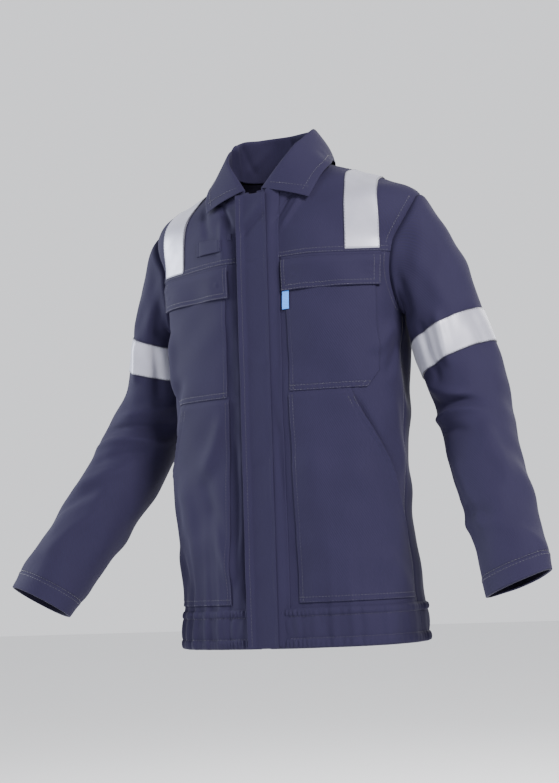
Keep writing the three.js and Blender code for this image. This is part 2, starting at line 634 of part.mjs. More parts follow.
function makeHangerLoop() {
  const path = new THREE.CatmullRomCurve3(evenly(0, Math.PI, 8).map(loopPoint));
  const section = new THREE.Shape();
  section.absarc(0, 0, LOOP_CORD / 2, 0, 2 * Math.PI);
  const geometry = new THREE.ExtrudeGeometry(section, { steps: 12, curveSegments: 3, extrudePath: path, bevelEnabled: false });
  add("hanger_loop", geometry, NAVY_DARK);
}

// ---------------------------------------------------------------- assembly
makePanels();
makeInside();
makeZip();
makeStormFlap();
makeChestPockets();
makeLowerPockets();
makeChestDetails();
makeShoulderTapes();
makeSleeve("left", false);
makeSleeve("right", true);
makeCollar();
makeHangerLoop();

jacket.position.copy(HOOK).negate();
const part = new THREE.Group();
part.add(jacket);

export default part;
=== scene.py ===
"""A navy flame-retardant work jacket, built as cloth, tape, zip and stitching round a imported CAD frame."""

import bpy
import numpy as np
from bpy.props import FloatProperty, FloatVectorProperty, IntProperty, PointerProperty
from mathutils import Matrix, Vector


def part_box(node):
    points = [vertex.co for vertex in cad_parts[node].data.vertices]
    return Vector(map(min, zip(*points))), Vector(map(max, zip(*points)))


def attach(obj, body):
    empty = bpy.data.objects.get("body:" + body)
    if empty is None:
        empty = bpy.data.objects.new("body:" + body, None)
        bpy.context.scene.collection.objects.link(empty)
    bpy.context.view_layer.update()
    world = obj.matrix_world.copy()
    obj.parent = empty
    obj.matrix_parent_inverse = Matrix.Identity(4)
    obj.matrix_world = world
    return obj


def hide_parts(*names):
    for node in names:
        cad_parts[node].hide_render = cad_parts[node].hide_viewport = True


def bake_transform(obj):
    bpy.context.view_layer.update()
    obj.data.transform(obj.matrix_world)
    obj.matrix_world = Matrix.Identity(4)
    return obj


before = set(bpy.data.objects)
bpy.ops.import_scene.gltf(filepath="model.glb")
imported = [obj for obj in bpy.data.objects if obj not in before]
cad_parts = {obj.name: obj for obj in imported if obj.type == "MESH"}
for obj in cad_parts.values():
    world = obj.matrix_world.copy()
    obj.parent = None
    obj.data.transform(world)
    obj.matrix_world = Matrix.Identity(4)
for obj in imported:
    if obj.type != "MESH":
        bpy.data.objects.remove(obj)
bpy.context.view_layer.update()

bl_info = {
    "name": "Work Jacket",
    "version": (1, 0, 0),
    "blender": (4, 5, 0),
    "location": "View3D > Sidebar > Jacket",
    "description": "Builds a work jacket from its panels, tapes, zip and stitching",
    "category": "Object",
}

TORSO = "torso"

# ---------------------------------------------------------------- the pattern, in millimetres
# Height is measured from the hem plane, +X is the wearer's left and -Y the front.
HEM_HALF_WIDTH = 179.0
HEM_FRONT = 113.0
FRONT_LEAN = 0.0335
BACK_SEAM_V = 530.0
YOKE_V = 556.0
BAND_HEIGHT = 55.0
BAND_ROWS = (0.0, 14.0, 44.0, BAND_HEIGHT)  # stitched rows that part the waistband into channels
NECK_V = 740.0
ARMHOLE_LOW, ARMHOLE_HIGH = 464.0, 626.0
CLOTH = 1.6
TAPE_WIDTH = 50.8
POCKET_INNER_X = 50.0
CHEST_POCKET_LOW = 358.0
CHEST_FLAP_HEIGHT = 50.0
CHEST_FLAP_TOP = YOKE_V - 3.0
FLAP_END_DEG = 75.0
CHEST_STUD_V = CHEST_FLAP_TOP - 0.55 * CHEST_FLAP_HEIGHT
CHEST_STUD_INSETS = (9.0, 5.0)  # degrees in from the flap's inner and outer edges
LOWER_POCKET_LOW = 62.0
LOWER_TOP = 361.0
# The lower pocket's slanted mouth: cloth height and angle.
SLANT = np.array([[LOWER_POCKET_LOW, 87], [150, 87], [250, 77], [300, 68], [350, 61], [LOWER_TOP, 59.5]], float)
FLAP_HALF_WIDTH = 24.0
FLAP_CLOTH = 1.4
FLAP_STAND = 4.8
FLAP_TOP_Z = 652.0
ZIP_TOP_Z = 632.0
CUFF_HEM = 28.0
SHOULDER_RISE = 13.0  # how far the padless shoulder point stands over the sleeve head
HIP_FLARE = 8.0  # how far the left hip flares over the waistband
TROUGH_X, TROUGH_WIDTH, TROUGH_DEPTH = -34.0, 8.0, 8.0  # the dip beside the storm flap's free edge
FRONT_CUT_DEG = 11.0  # how far the armhole cuts forward of the side line, and back of it
BACK_CUT_DEG = 26.0
FRONT_SQUEEZE_DEG = 75.0  # columns past these angles squeeze up to the armhole's edges
BACK_SQUEEZE_DEG = 127.5
PANEL_START_DEG = 3.6  # the fronts' edges, under the zip's tapes
SLEEVE_ROUND = 340.0  # cloth round a sleeve, for its weave and folds
SLEEVE_DEPTH = 1.3  # the sleeves' folds are deeper than the body's
CHEST_FLAP_LOW = 3.9  # underside of the chest flap, off the body cloth
MM_PER_DEG = 2.75  # cloth for each degree round the body, for edges and weave
BAND_STITCHES = ((14.0, 0.45), (44.0, 0.45), (53.6, 0.75))  # height, and distance off the cloth
SEAM_STITCHES = ((1.5, 1.15), (7.5, 0.55))  # height over a yoke seam, and distance off the cloth

# Underside and face of each piece of cloth, as distances off the body's own cloth.
LAYERS = {
    "panel": (-CLOTH, 0), "band": (-2, 0.5), "facing": (-3.8, -2.6), "elastic": (-3.8, -2.6),
    "neck_facing": (-3.7, -2.5), "label": (-3.4, -2.8), "zip_tape": (-2.9, -2.2), "flap_seam": (0.3, 1.5),
    "chest_pocket": (0.75, 1.95), "chest_flap": (CHEST_FLAP_LOW, CHEST_FLAP_LOW + 1.4), "flap_hem": (0.3, 1.6),
    "lower_pocket": (0.9, 2.1), "radio_loop": (0.4, 2.0), "loop_tack": (0.2, 1.1), "tag": (2.9, 3.5),
    "sleeve_tape": (0.5, 1.6),
}

# Where the hanger loop's hook point lies in the pattern: the storm flap's foot and the hem give it.
HOOK = np.array([
    0.0,
    -1000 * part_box("storm_flap")[0].y - (HEM_FRONT - FRONT_LEAN + FLAP_STAND + FLAP_CLOTH),
    -1000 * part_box("waistband_back")[0].z,
])

# Body rings: cloth height, half width, back depth, squareness, front, side and back heights, shift back.
RINGS = np.array([
    [0, HEM_HALF_WIDTH, 108, 2.5, 0, 0, 0, 0],
    [120, HEM_HALF_WIDTH - 2, 104, 2.5, 120, 120, 120, 0],
    [260, HEM_HALF_WIDTH - 2, 102, 2.5, 260, 260, 260, 0],
    [400, HEM_HALF_WIDTH + 4, 112, 2.5, 400, 400, 400, 0],
    [500, HEM_HALF_WIDTH + 11, 120, 2.4, 500, 500, 500, 0],
    [570, HEM_HALF_WIDTH + 22, 112, 2.2, 566, 566, 566, 3],
    [622, HEM_HALF_WIDTH + 30, 96, 1.75, 603, 627, 619, 11],
    [660, HEM_HALF_WIDTH - 3, 78, 1.6, 628, 660, 656, 17],
    [702, 126, 63, 1.7, 645, 686, 687, 18],
    [NECK_V, 76, 50, 2.0, 656, 706, 710, 15],
], float)

# Sleeve stations below the head: x, y, z, half width, half depth, for a left sleeve.
HEAD = 100.0
STATIONS = {
    "left": [[244, 23, 452, 54, 62], [263, 28, 376, 55, 60], [278, 26, 322, 53, 57],
             [308, -18, 240, 50, 53], [346, -70, 155, 48, 45], [377, -114, 77, 46, 36]],
    "right": [[235, 30, 474, 41, 62], [254, 36, 380, 55, 59], [277, 24, 322, 57, 59],
              [308, -18, 240, 56, 57], [348, -74, 152, 55, 51], [379, -120, 78, 51, 42]],
}
TAPE_START = {"left": HEAD + 5, "right": HEAD + 4}
CUFF_SLANT = {"left": 19.0, "right": 5.0}  # how much longer the cuff hangs in front, and shorter behind
# How far the sleeve tape sits down, and how far it tilts down at the inner side and up at the outer.
TAPE_SLOPE = {"left": (5.0, 9.0), "right": (-2.0, 7.0)}
SIDES = {"left": 1.0, "right": -1.0}

# The camera: degrees round to the wearer's left, tipped up and rolled, then millimetres away, aside and above
# the hem. Its focal length is given on the scale of the view's long side, FRAME_ROWS.
CAMERA = {"turn": 28.0, "tip": 6.4, "roll": 2.75, "away": 2342.0, "aside": -17.0, "above": 109.0,
          "focal": 1590.0}
FRAME_ROWS = 783.0
SENSOR = 36.0

# Collar of the left half: share round from the front, then the fold line's point, and the leaf edge's
# angle, cloth height and distance off the cloth.
FOLD = np.array([[0, 13, -88, 660], [0.25, 52, -66, 716], [0.5, 60, -14, 755], [0.75, 44, 24, 766],
                 [1, 0, 36, 769]], float)
LEAF = np.array([[0, 43, 650, 5], [0.1, 53, 694, 7], [0.25, 70, 722, 6.5], [0.5, 96, 738, 4.5],
                 [0.75, 136, 731, 5], [1, 180, 724, 5]], float)
COLLAR_START = 8.0
# Creases of the collar: from run round and run up and over, to run round and run up, width and height.
COLLAR_FOLDS = [[300, 12, 316, 66, 6, 2.2], [330, 8, 336, 62, 6, -2.4], [352, 10, 350, 60, 5, 2.0],
                [262, 58, 316, 14, 7, -1.8], [150, 14, 176, 60, 8, 1.8], [60, 20, 96, 58, 6, -1.2],
                [70, 110, 100, 84, 9, 1.0], [440, 96, 414, 120, 8, 1.6],]

# Creases of the storm flap: from x and height, to x and height, width and height.
STORM_FLAP_FOLDS = [
    [-22, 588, 24, 622, 4, -2.6], [-20, 604, 22, 640, 7, 2.0], [-20, 420, 18, 396, 9, 0.9],
    [-22, 250, 16, 262, 8, -0.9],
]

# Soft folds of the body cloth: from angle and height, to angle and height, width and height of the ridge.
# A negative height is a valley. Angles are from the front, positive to the wearer's left.
BODY_FOLDS = [
    [-72, 470, -70, 372, 10, 4.0], [-80, 478, -84, 392, 9, -3.0], [-60, 400, -74, 330, 12, -2.5],
    [-30, 340, -48, 236, 14, 2.6], [-48, 262, -34, 150, 13, -2.4], [-62, 250, -52, 120, 14, 3.0],
    [-76, 300, -70, 96, 12, 3.0], [-22, 300, -22, 90, 8, -2.2], [-40, 196, -26, 92, 10, 2.2],
    [-84, 220, -60, 84, 11, -2.6],
    [84, 452, 70, 404, 9, 2.4], [86, 430, 76, 372, 8, -2.2], [80, 350, 88, 236, 12, 2.6],
    [90, 440, 96, 330, 12, -3.0], [14, 372, 20, 300, 8, 1.3], [15, 300, 18, 214, 7, -1.4],
    [60, 260, 78, 150, 18, 1.6], [38, 300, 44, 110, 20, 1.4], [70, 130, 84, 70, 12, 1.8],
    [16, 616, 33, 690, 5, -2.2], [22, 604, 40, 676, 7, 1.6], [-20, 620, -34, 688, 8, -2.2],
    [-28, 560, -30, 640, 9, 1.8], [-40, 600, -52, 668, 9, -1.8],
    [76, 580, 70, 640, 12, 0.8], [84, 596, 86, 520, 7, 1.8], [-84, 596, -86, 520, 7, 1.8],
    [108, 520, 140, 420, 16, 3.2], [104, 470, 128, 360, 14, -2.8], [252, 520, 220, 420, 16, 3.2],
    [256, 470, 232, 360, 14, -2.8], [150, 330, 176, 210, 18, 2.8], [212, 340, 186, 200, 18, -2.6],
    [118, 300, 150, 160, 16, 2.6], [244, 290, 214, 150, 16, 2.6], [165, 240, 162, 90, 13, 2.4],
    [200, 230, 204, 84, 13, 2.4], [128, 210, 134, 80, 12, -2.2], [232, 210, 228, 80, 12, -2.2],
    [180, 640, 180, 560, 16, -1.6], [150, 600, 122, 640, 12, 1.6], [210, 600, 238, 640, 12, 1.6],
]
# Sleeve folds: from share round and distance down, to share and distance, width and height.
# Share 0 is the outer line, 0.25 the front, 0.5 the inner line and 0.75 the back.
SLEEVE_FOLDS = {
    "left": [
        [0.22, 92, 0.24, 176, 7, 2.6], [0.30, 100, 0.31, 190, 6, -2.0], [0.08, 96, 0.05, 170, 9, -1.3],
        [0.42, 178, 0.20, 232, 9, 2.4], [0.46, 204, 0.16, 258, 8, -2.2], [0.48, 232, 0.12, 290, 9, 2.6],
        [0.44, 262, 0.22, 312, 8, -1.8], [0.16, 300, 0.10, 420, 12, 1.6], [0.34, 330, 0.30, 470, 12, 1.8],
        [0.70, 200, 0.90, 250, 10, 2.0], [0.66, 240, 0.94, 282, 9, -1.8], [0.72, 300, 0.82, 430, 13, 1.8],
        [0.30, 18, 0.36, 92, 11, -1.5], [0.20, 30, 0.16, 96, 12, 1.6], [0.70, 20, 0.64, 92, 10, -2.2],
        [0.97, 330, 0.02, 500, 10, 1.2], [0.45, 390, 0.24, 452, 10, -1.4],
    ],
    "right": [
        [0.20, 96, 0.22, 170, 8, 2.0], [0.32, 96, 0.34, 200, 8, -2.0], [0.44, 186, 0.18, 246, 9, 2.6],
        [0.48, 214, 0.12, 282, 8, -2.4], [0.46, 246, 0.10, 320, 9, 2.6], [0.42, 280, 0.14, 350, 9, -2.0],
        [0.36, 322, 0.12, 402, 10, 2.0], [0.30, 372, 0.10, 440, 10, -1.6], [0.34, 400, 0.22, 500, 12, 1.6],
        [0.70, 210, 0.90, 262, 10, 2.0], [0.66, 250, 0.94, 296, 9, -1.8], [0.72, 310, 0.82, 440, 13, 1.8],
        [0.28, 20, 0.34, 94, 11, -1.5], [0.18, 30, 0.14, 96, 12, 1.8], [0.70, 20, 0.64, 92, 10, -2.2],
    ],
}


# ---------------------------------------------------------------- settings
def linear(code):
    """Turns an sRGB hex colour into linear red, green, blue
    and alpha: ((c + 0.055) / 1.055) to the power 2.4."""
    c = np.array([int(code[i:i + 2], 16) for i in (1, 3, 5)]) / 255
    low, high = c / 12.92, ((c + 0.055) / 1.055) ** 2.4
    return (*np.where(c <= 0.04045, low, high), 1.0)


def colour_setting(name, description, code):
    """A colour picker whose default is an sRGB hex colour."""
    return FloatVectorProperty(name=name, description=description, subtype="COLOR", size=4, min=0, max=1,
                               default=linear(code))


class JacketSizes(bpy.types.PropertyGroup):
    cell: FloatProperty(name="Cell", description="Side of one mesh cell of the cloth", default=0.003, min=0.002,
                        max=0.02, unit="LENGTH")
    fold_depth: FloatProperty(name="Fold depth", description="Share of the drawn depth of the cloth's folds",
                              default=1.8, min=0, max=2)
    edge_radius: FloatProperty(name="Edge radius", description="How far a turned edge of cloth is rounded",
                               default=0.0016, min=0.0004, max=0.004, unit="LENGTH")
    stitch_length: FloatProperty(name="Stitch length", description="Length of one stitch", default=0.0034,
                                 min=0.001, max=0.01, unit="LENGTH")
    stitch_gap: FloatProperty(name="Stitch gap", description="Cloth between two stitches", default=0.0012,
                              min=0.0003, max=0.005, unit="LENGTH")
    thread: FloatProperty(name="Thread", description="Width of the sewing thread", default=0.0006, min=0.0003,
                          max=0.002, unit="LENGTH")
    gather_depth: FloatProperty(name="Gather depth", description="Depth of the waistband's gathers",
                                default=0.0013, min=0, max=0.004, unit="LENGTH")
    tooth_pitch: FloatProperty(name="Tooth pitch", description="Distance from one zip tooth to the next",
                               default=0.003, min=0.002, max=0.006, unit="LENGTH")
    sleeve_columns: IntProperty(name="Sleeve columns", description="Mesh columns round a sleeve", default=120,
                                min=32, max=240)


class JacketColours(bpy.types.PropertyGroup):
    navy: colour_setting("Navy twill", "Outside cloth", "#131024")
    lining: colour_setting("Lining", "Inside face of the cloth", "#0f0c1c")
    silver: colour_setting("Reflective tape", "Bead-coated tape", "#777783")
    thread: colour_setting("Thread", "Sewing thread", "#0c0a1c")
    zip_tape: colour_setting("Zip tape", "Woven band that carries the teeth", "#0d0c17")
    brass: colour_setting("Zip metal", "Teeth, slider and pull", "#9c9488")
    stud: colour_setting("Stud metal", "Press studs", "#3b3b46")
    tag: colour_setting("Side tag", "Woven tag on the chest pocket", "#1465b8")
    label: colour_setting("Label", "Size label in the neck", "#c4c4c8")


def sizes():
    """The sizes set in the sidebar."""
    return bpy.context.scene.jacket_sizes


def colours():
    """The colours set in the sidebar, in linear light."""
    return bpy.context.scene.jacket_colours


def colour_of(key):
    """One of the sidebar's colours as a tuple."""
    return tuple(getattr(colours(), key))


# ---------------------------------------------------------------- small maths on whole arrays
def ease(t):
    """0 below 0, 1 above 1, and 3t^2 - 2t^3 between."""
    t = np.clip(t, 0, 1)
    return t * t * (3 - 2 * t)


def along(table, t):
    """Cubic Hermite curve through the rows of a table at t, each slope the mean of the chords beside it."""
    x, y = table[:, 0], table[:, 1:]
    d = (y[1:] - y[:-1]) / (x[1:] - x[:-1])[:, None]
    before, after = (x[1:-1] - x[:-2])[:, None], (x[2:] - x[1:-1])[:, None]
    m = np.concatenate([d[:1], (d[1:] * before + d[:-1] * after) / (before + after), d[-1:]])
    t = np.asarray(t, float)
    i = np.clip(np.searchsorted(x, t, side="right") - 1, 0, len(x) - 2)
    h = x[i + 1] - x[i]
    s, h = ((t - x[i]) / h)[..., None], h[..., None]
    return ((2 * s**3 - 3 * s**2 + 1) * y[i] + (s**3 - 2 * s**2 + s) * h * m[i]
            + (3 * s**2 - 2 * s**3) * y[i + 1] + (s**3 - s**2) * h * m[i + 1])


def unit(v):
    """Vectors divided by their own lengths."""
    return v / np.maximum(np.linalg.norm(v, axis=-1, keepdims=True), 1e-9)


def ripple(points, wavelength, seed, waves=14):
    """Gentle unevenness: a sum of sines of the points'
    places along random directions, near one wavelength."""
    rng = np.random.default_rng(seed)
    ways = unit(rng.normal(size=(waves, 3))) / (wavelength * rng.uniform(0.7, 1.6, (waves, 1)))
    phase = rng.uniform(0, 2 * np.pi, waves)
    return np.sin(2 * np.pi * points @ ways.T + phase).sum(-1) / np.sqrt(waves)


def ridges(a, b, folds):
    """Sum of folds: each is a bell curve of the distance from
    its line, its height tapering to nothing at both ends."""
    total = np.zeros(np.broadcast(a, b).shape)
    for a0, b0, a1, b1, width, height in folds:
        da, db = a1 - a0, b1 - b0
        length = np.hypot(da, db)
        t = ((a - a0) * da + (b - b0) * db) / length**2
        across = ((a - a0) * db - (b - b0) * da) / length
        taper = ease(np.clip(t / 0.35 + 0.25, 0, 1)) * ease(np.clip((1 - t) / 0.35 + 0.25, 0, 1))
        total = total + height * taper * np.exp(-(across / width) ** 2)
    return total


def ticks(low, high, step, close=0.0):
    """Values from low to high about a step apart, with three more beside each end, up to close away."""
    inner = np.linspace(low + close, high - close, max(2, int(round((high - low - 2 * close) / step)) + 1))
    if not close:
        return inner
    near = close * np.array([0.0, 0.12, 0.35, 0.65])
    return np.concatenate([low + near, inner, (high - near)[::-1]])


def from_front(deg):
    """Any angle round the body as -180 to 180 from the front, positive to the wearer's left."""
    return (deg + 180) % 360 - 180


def meet(low, high, wanted):
    """Halves the range from low to high 32 times, towards where wanted(middle) turns from true to false."""
    for _ in range(32):
        mid = (low + high) / 2
        inside = wanted(mid)
        low, high = np.where(inside, mid, low), np.where(inside, high, mid)
    return low


# ---------------------------------------------------------------- the body surface
def body_base(deg, v):
    """A ring at each cloth height: r = ((|sin|/half)^n + (|cos|/depth)^n)^(-1/n), deeper at the
    back, its height mixed from side and front or back heights by sin^2 and cos^2 of the angle."""
    half, back, n, z_front, z_side, z_back, shift = np.moveaxis(along(RINGS, v), -1, 0)
    s, c = np.sin(np.radians(deg)), np.cos(np.radians(deg))
    depth = np.where(c >= 0, HEM_FRONT - FRONT_LEAN * z_front + shift, back)
    r = ((np.abs(s) / half) ** n + (np.abs(c) / depth) ** n) ** (-1 / n)
    return np.stack([r * s, shift - r * c, z_side * s * s + np.where(c >= 0, z_front, z_back) * c * c], -1)


def body_normal(deg, v):
    """Cross product of the surface's differences round and up."""
    across = body_base(deg + 0.5, v) - body_base(deg - 0.5, v)
    up = body_base(deg, v + 0.5) - body_base(deg, v - 0.5)
    return unit(np.cross(across, up))


def gathers(deg, v):
    """Upright pleats above the elastic waistband: sines round
    the body that fade with height and off the elastic."""
    wide = np.abs(from_front(deg))
    right = from_front(deg) < 0
    drawn = np.where(right, 1.0, 0.45) * ease((wide - 16) / 14) * (1 - 0.5 * ease((wide - 84) / 40))
    wave = np.sin(wide * 0.62 + 1.7 * np.sin(wide * 0.11)) + 0.3 * np.sin(wide * 1.27 + 0.8)
    return drawn * wave * np.exp(-np.maximum(v - BAND_HEIGHT, 0) / 46) * ease((v + 20) / 40)


def drape(deg, v):
    """How far the worn cloth lies off the plain body: the sum of its folds, gathers and ripples, flat
    beside the zip and at the neck, with the shoulder point, the hip and the trough as bell curves."""
    deg, v = np.broadcast_arrays(np.asarray(deg, float), np.asarray(v, float))
    side = from_front(deg)
    folds = np.array(BODY_FOLDS) * [MM_PER_DEG, 1, MM_PER_DEG, 1, 1, 1]
    # Folds at the back are listed from 90 to 270, the front ones from -90 to 90.
    at_back = folds[:, 0] >= 100 * MM_PER_DEG
    front = ridges(side * MM_PER_DEG, v, folds[~at_back])
    rear = ridges((side % 360) * MM_PER_DEG, v, folds[at_back])
    at = body_base(deg, v)
    soft = 1.1 * ripple(at, 120, 3) + 0.55 * ripple(at, 52, 8)
    quiet = ease((np.abs(side) - 9) / 12) * (0.35 + 0.65 * ease((np.abs(side) - 14) / 12))
    calm = 1 - ease((v - 700) / 36)
    point = SHOULDER_RISE * ease((v
                                  - 570) / 56) * ease((676 - v) / 50) * np.exp(-((np.abs(side) - 90) / 24) ** 2)
    hip = HIP_FLARE * ease((190 - v) / 150) * np.exp(-((side - 96) / 34) ** 2)
    trough = -TROUGH_DEPTH * np.exp(-((side * MM_PER_DEG - TROUGH_X) / TROUGH_WIDTH) ** 2)
    trough = trough * ease((v - 56) / 30) * ease((640 - v) / 60)
    return sizes().fold_depth * (front + rear + soft + gathers(deg, v)) * quiet * calm + point + hip + trough


def body(deg, v, off=0.0):
    """The worn cloth's surface, moved out by off along the plain body's normal."""
    deg, v, off = np.broadcast_arrays(np.asarray(deg, float), np.asarray(v, float), np.asarray(off, float))
    return body_base(deg, v) + body_normal(deg, v) * (off + drape(deg, v))[..., None]


def angle_at(x, v, back=False):
    """Angle at which the plain body is x to the side at cloth height v, by halving the range."""
    x, v = np.broadcast_arrays(np.asarray(x, float), np.asarray(v, float))
    found = meet(np.zeros(x.shape), np.full(x.shape, 90.0),
                 lambda mid: body_base(180 - mid if back else mid, v)[..., 0] < x)
    return 180 - found if back else found


def front_line(x, z, off):
    """The straight front: x to the side, z up, off in front of the leaning centre line."""
    x, z, off = np.broadcast_arrays(np.asarray(x, float), np.asarray(z, float), np.asarray(off, float))
    return np.stack([x, -HEM_FRONT + FRONT_LEAN * z - off, z], -1)


def armhole_height(share):
    """Cloth height of the armhole's edge at a share of the way round from its top, by a cosine."""
    return ARMHOLE_LOW + (ARMHOLE_HIGH - ARMHOLE_LOW) * (0.5 + 0.5 * np.cos(share * 2 * np.pi))


def armhole_curve(v):
    """How much of its full cut the armhole has at a cloth height: a sine to the power 0.6."""
    return np.sin(np.pi * np.clip((v - ARMHOLE_LOW) / (ARMHOLE_HIGH - ARMHOLE_LOW), 0, 1)) ** 0.6


def front_angle(deg, v):
    """Columns past 75 degrees squeeze so that the last one lies on the armhole's front edge."""
    edge, start = 90 - FRONT_CUT_DEG * armhole_curve(v), FRONT_SQUEEZE_DEG
    return np.where(deg <= start, deg, start + (deg - start) * (edge - start) / (90 - start))


def back_angle(deg, v):
    """Columns within 37.5 degrees of either side seam squeeze to the armhole's back edge."""
    edge, start = 90 + BACK_CUT_DEG * armhole_curve(v), BACK_SQUEEZE_DEG
    near = np.where(deg > 180, 360 - deg, deg)
    squeezed = np.where(near >= start, near, edge + (near - 90) * (start - edge) / (start - 90))
    return np.where(deg > 180, 360 - squeezed, squeezed)


# ---------------------------------------------------------------- meshes
def mesh_from(name, points, faces, materials, body_name, uv=None, picks=None, smooth=True):
    """One object at the origin from pattern points in millimetres, quads and the points' UVs in metres."""
    mesh = bpy.data.meshes.new(name)
    mesh.from_pydata(((points - HOOK) / 1000).tolist(), [], faces.tolist())
    mesh.polygons.foreach_set("use_smooth", np.full(len(faces), smooth))
    for material in materials:
        mesh.materials.append(material)
    if picks is not None:
        mesh.polygons.foreach_set("material_index", picks.astype(np.int32))
    layer = mesh.uv_layers.new(name="cloth")
    if uv is not None:
        layer.data.foreach_set("uv", uv[faces.ravel()].astype(np.float32).ravel())
    mesh.update()
    obj = bpy.data.objects.new(name, mesh)
    bpy.context.scene.collection.objects.link(obj)
    if body_name:
        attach(obj, body_name)
    return obj


def volume_of(points, faces):
    """Signed volume: the sum of a . (b x c) / 6 over both triangles of each quad."""
    a, b, c, d = (points[faces[:, k]] for k in range(4))
    return (np.einsum("ij,ij->i", a, np.cross(b, c)) + np.einsum("ij,ij->i", a, np.cross(c, d))).sum() / 6


def outward(points, faces):
    """The quads, turned round where they enclose a negative volume, so that they face outwards."""
    return faces[:, ::-1] if volume_of(points - points.mean(0), faces) < 0 else faces


def ring_faces(ids):
    """Quads between rings of points, rows of ids that close on themselves."""
    nxt = np.roll(ids, -1, 1)
    return np.stack([ids[:-1], nxt[:-1], nxt[1:], ids[1:]], -1).reshape(-1, 4)


def run_along(path):
    """Distance along a path at each of its points."""
    return np.concatenate([[0], np.cumsum(np.linalg.norm(np.diff(path, axis=0), axis=1))])


def grid_faces(ids):
    """Quads between the neighbours of a grid of ids."""
    return np.stack([ids[:-1, :-1], ids[:-1, 1:], ids[1:, 1:], ids[1:, :-1]], -1).reshape(-1, 4)


def sheet(name, outer, inner, uv, materials, body_name):
    """A closed sheet of cloth from two grids of points, rows by columns: both faces, and a rim along
    each open edge. The first material covers the outer face and the rim, the second the inner face."""
    rows, columns = outer.shape[:2]
    count = rows * columns
    ids = np.arange(count).reshape(rows, columns)
    face = grid_faces(ids)
    back = face[:, ::-1] + count
    # Each open edge in the order that its rim's quads take: bottom, top, left and right.
    edges = ((ids[0, 1:], ids[0, :-1]), (ids[-1, :-1], ids[-1, 1:]), (ids[:-1, 0], ids[1:, 0]),
             (ids[1:, -1], ids[:-1, -1]))
    rim = np.concatenate([np.stack([a, b, b + count, a + count], -1) for a, b in edges])
    points = np.concatenate([outer.reshape(-1, 3), inner.reshape(-1, 3)])
    faces = outward(points, np.concatenate([face, rim, back]))
    picks = np.repeat([0, min(1, len(materials) - 1)], [len(face) + len(rim), len(back)])
    flat = uv.reshape(-1, 2)
    return mesh_from(name, points, faces, materials, body_name, np.concatenate([flat, flat]), picks)


def turned(distance, radius):
    """Share of the full thickness at this distance from a
    turned edge: a quarter circle that starts at 0.15."""
    t = 1 - np.clip(distance / radius, 0, 1)
    return 0.15 + 0.85 * np.sqrt(1 - t * t)


def body_sheet(name, columns, rows, low, high, materials, warp=None, folded="lrbt", lift=None, mirror=False,
               body_name=TORSO):
    """A sheet on the body between two angles and two heights. Its thickness falls to nothing round each
    folded edge (l, r, b, t), lift(deg, v) adds to both faces, and warp(deg, v) slants its columns."""
    deg, v = np.meshgrid(columns, rows)
    radius = 1000 * sizes().edge_radius
    share = np.ones(deg.shape)
    for edge, distance in (("l", (deg - columns[0]) * MM_PER_DEG), ("r", (columns[-1] - deg) * MM_PER_DEG),
                           ("b", v - rows[0]), ("t", rows[-1] - v)):
        if edge in folded:
            share = np.minimum(share, turned(distance, radius))
    at = warp(deg, v) if warp else deg
    side = -1 if mirror else 1
    extra = lift(at, v) if lift else 0.0
    # The lower half of a turned edge stays flat on what it lies on, so only the outer face rolls down.
    outer = body(side * at, v, low + (high - low) * share + extra)
    inner = body(side * at, v, low + extra)
    for grid in (outer, inner):
        grid[v <= 0.0, 2] = 0.0  # the hem lies in one plane
    uv = np.stack([side * at * MM_PER_DEG, v], -1) / 1000
    return sheet(name, outer, inner, uv, materials, body_name)


def grid_normals(points):
    """Cross product of the differences along columns and rows."""
    return unit(np.cross(np.gradient(points, axis=1), np.gradient(points, axis=0)))


def stitch_row(path, normals):
    """Points and quads of one row of stitches: each is a bead of four rings of six points along the path,
    half sunk in the cloth, its ends pinched to a fifth."""
    s = sizes()
    length, pitch, width = 1000 * s.stitch_length, 1000 * (s.stitch_length + s.stitch_gap), 1000 * s.thread
    run = run_along(path)
    at = np.arange(pitch / 2, run[-1], pitch)
    centre = np.stack([np.interp(at, run, path[:, k]) for k in range(3)], -1)
    normal = unit(np.stack([np.interp(at, run, normals[:, k]) for k in range(3)], -1))
    way = unit(np.gradient(centre, axis=0)) if len(centre) > 1 else unit(path[-1:] - path[:1])
    across = unit(np.cross(way, normal))
    turn = np.arange(6) * np.pi / 3
    along_ring = np.array([-0.5, -0.3, 0.3, 0.5]) * length
    wide = np.array([0.2, 1.0, 1.0, 0.2]) * width / 2
    sink = np.array([-0.35, 0.1, 0.1, -0.35]) * width
    points = (centre[:, None, None] + way[:, None, None] * along_ring[:, None, None]
              + normal[:, None, None] * (sink[:, None] + 0.75 * wide[:, None] * np.sin(turn))[..., None]
              + across[:, None, None] * (wide[:, None] * np.cos(turn))[..., None])
    side = ring_faces(np.arange(24).reshape(4, 6))
    caps = np.array([[0, 5, 4, 3], [0, 3, 2, 1], [18, 19, 20, 21], [18, 21, 22, 23]])
    one = outward(points[0].reshape(-1, 3), np.concatenate([side[:, ::-1], caps[:, ::-1]]))
    faces = (one[None] + 24 * np.arange(len(centre))[:, None, None]).reshape(-1, 4)
    return points.reshape(-1, 3), faces


def stitches(name, rows, material, body_name):
    """Every row of stitches of one group as one object; rows holds (path, normals) pairs."""
    points, faces, start = [], [], 0
    for path, normals in rows:
        p, f = stitch_row(np.asarray(path), np.asarray(normals))
        points.append(p)
        faces.append(f + start)
        start += len(p)
    points, faces = np.concatenate(points), np.concatenate(faces)
    uv = points[:, [0, 2]] / 1000
    obj = mesh_from(name, points, faces, [material], body_name, uv)
    return obj


def body_run(deg, v, off, count=160):
    """A stitched line on the body through the given angles and heights, with its normals."""
    t = np.linspace(0, len(deg) - 1, count)
    k = np.arange(len(deg))
    d, h = np.interp(t, k, deg), np.interp(t, k, v)
    return body(d, h, off), body_normal(d, h)


